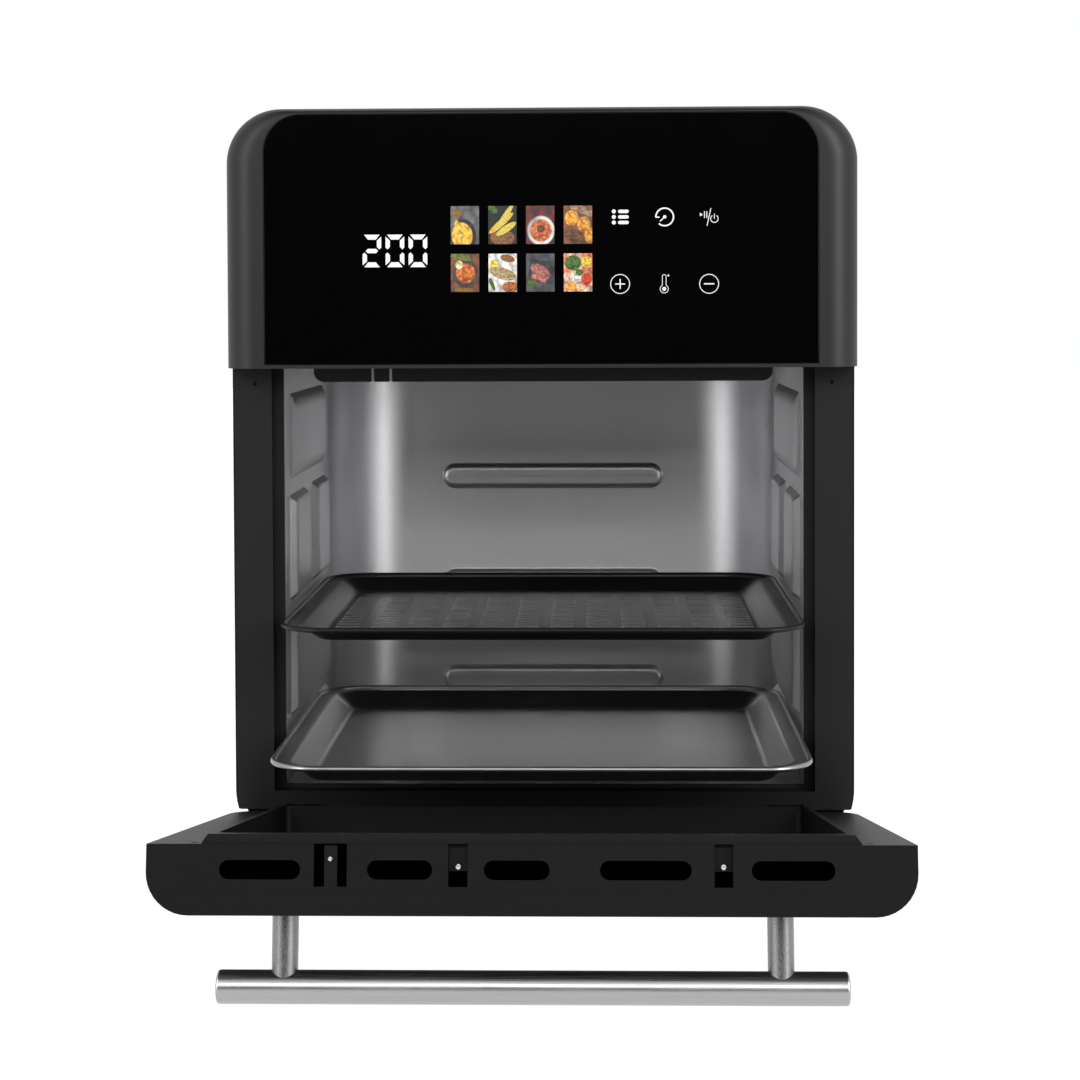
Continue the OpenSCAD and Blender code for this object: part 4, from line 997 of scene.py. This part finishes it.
for side in (-1, 1):
    post = rod("post", (side * POST_X, BAR_Y, BAR_Z), (side * POST_X, DOOR_OUT, BAR_Z), POST_R, 64)
    posts.append(cut(post, rod("cope", (side * 90, BAR_Y, BAR_Z), (side * 120, BAR_Y, BAR_Z), BAR_R - 0.05, 96)))
# The posts take a darker copy of the bar's brushed steel, a painted shade.
brushed_post_painted_shade = grained("brushed_post_painted_shade", (0.22, 0.22, 0.22), 0.27, 1.0, grain=(3200, 3200, 25), tint=0.14,
                       spread=0.08, depth=0.012)
fit(swing(soften(joined("handle_stems", posts), 0.25, 2, 50)), "door", brushed_post_painted_shade, "handle_steel", "handle_posts")
dress(bright_steel, "handle_screws")


# ---- Studio ----
# A pale floor lit from within, an even white room, and soft lights in front at the left, the right and the middle.
# Black cloths before, below and above the oven keep its dark faces dark.
white = grained("floor_white", (0.12, 0.12, 0.12), 0.7, grain=(3, 3, 3), tint=0.01, depth=0, Specular_IOR_Level=0.1,
                Emission_Color=(1, 1, 1, 1), Emission_Strength=1.0)
bare()
bpy.ops.mesh.primitive_plane_add(size=14, location=(0, 0, 0))
studio_floor = bpy.context.object
studio_floor.name = "studio_floor"
studio_floor.data.materials.append(white)

room = bpy.data.worlds.new("white_room")
room.use_nodes = True
room.node_tree.nodes["Background"].inputs["Color"].default_value = (1, 1, 1, 1)
room.node_tree.nodes["Background"].inputs["Strength"].default_value = 1.0
bpy.context.scene.world = room


def soft_light(name, place, aim, width, height, power):
    """A broad lamp that the camera doesn't see."""
    lamp = bpy.data.objects.new(name, bpy.data.lights.new(name, "AREA"))
    lamp.data.shape = "RECTANGLE"
    lamp.data.size, lamp.data.size_y = width, height
    lamp.data.energy = power
    lamp.location = place
    lamp.rotation_euler = (Vector(aim) - Vector(place)).to_track_quat("-Z", "Y").to_euler()
    lamp.visible_camera = False
    bpy.context.scene.collection.objects.link(lamp)
    return lamp


soft_light("left_light", (-1.3, -1.1, 0.8), (0, 0, 0.2), 0.5, 1.2, 15)
soft_light("right_light", (1.3, -1.1, 0.8), (0, 0, 0.2), 0.5, 1.2, 25)
soft_light("front_light", (0, -1.5, 0.76), (0, 0.2, 0.15), 1.1, 0.4, 6)

black_cloth = grained("black_cloth", (0.004, 0.004, 0.004), 0.9, grain=(400, 400, 400))
UPRIGHT, FLAT = pi / 2, 0
CLOTHS = (((0, -2.4, 0.5), UPRIGHT, (2, 1)), ((0, -1.6, 0.002), FLAT, (2, 1.6)), ((0, 0, 1.3), FLAT, (1.2, 1.2)))
for place, tilt, (width, length) in CLOTHS:
    bare()
    bpy.ops.mesh.primitive_plane_add(size=1, location=place, rotation=(tilt, 0, 0))
    cloth = bpy.context.object
    cloth.name = "studio_cloth"
    cloth.scale = (width, length, 1)
    settle(cloth)
    cloth.data.materials.append(black_cloth)
    cloth.visible_camera = False

camera = bpy.data.objects.new("camera", bpy.data.cameras.new("camera"))
camera.location = (0.0287, -1.1907, 0.3015)
camera.rotation_euler = (pi / 2 - 0.031, 0.004, 0.0256)
camera.data.lens, camera.data.sensor_width = 74.56, 36
camera.data.shift_y = -0.1537
bpy.context.scene.collection.objects.link(camera)
bpy.context.scene.camera = camera
bpy.context.scene.view_settings.view_transform = "Standard"
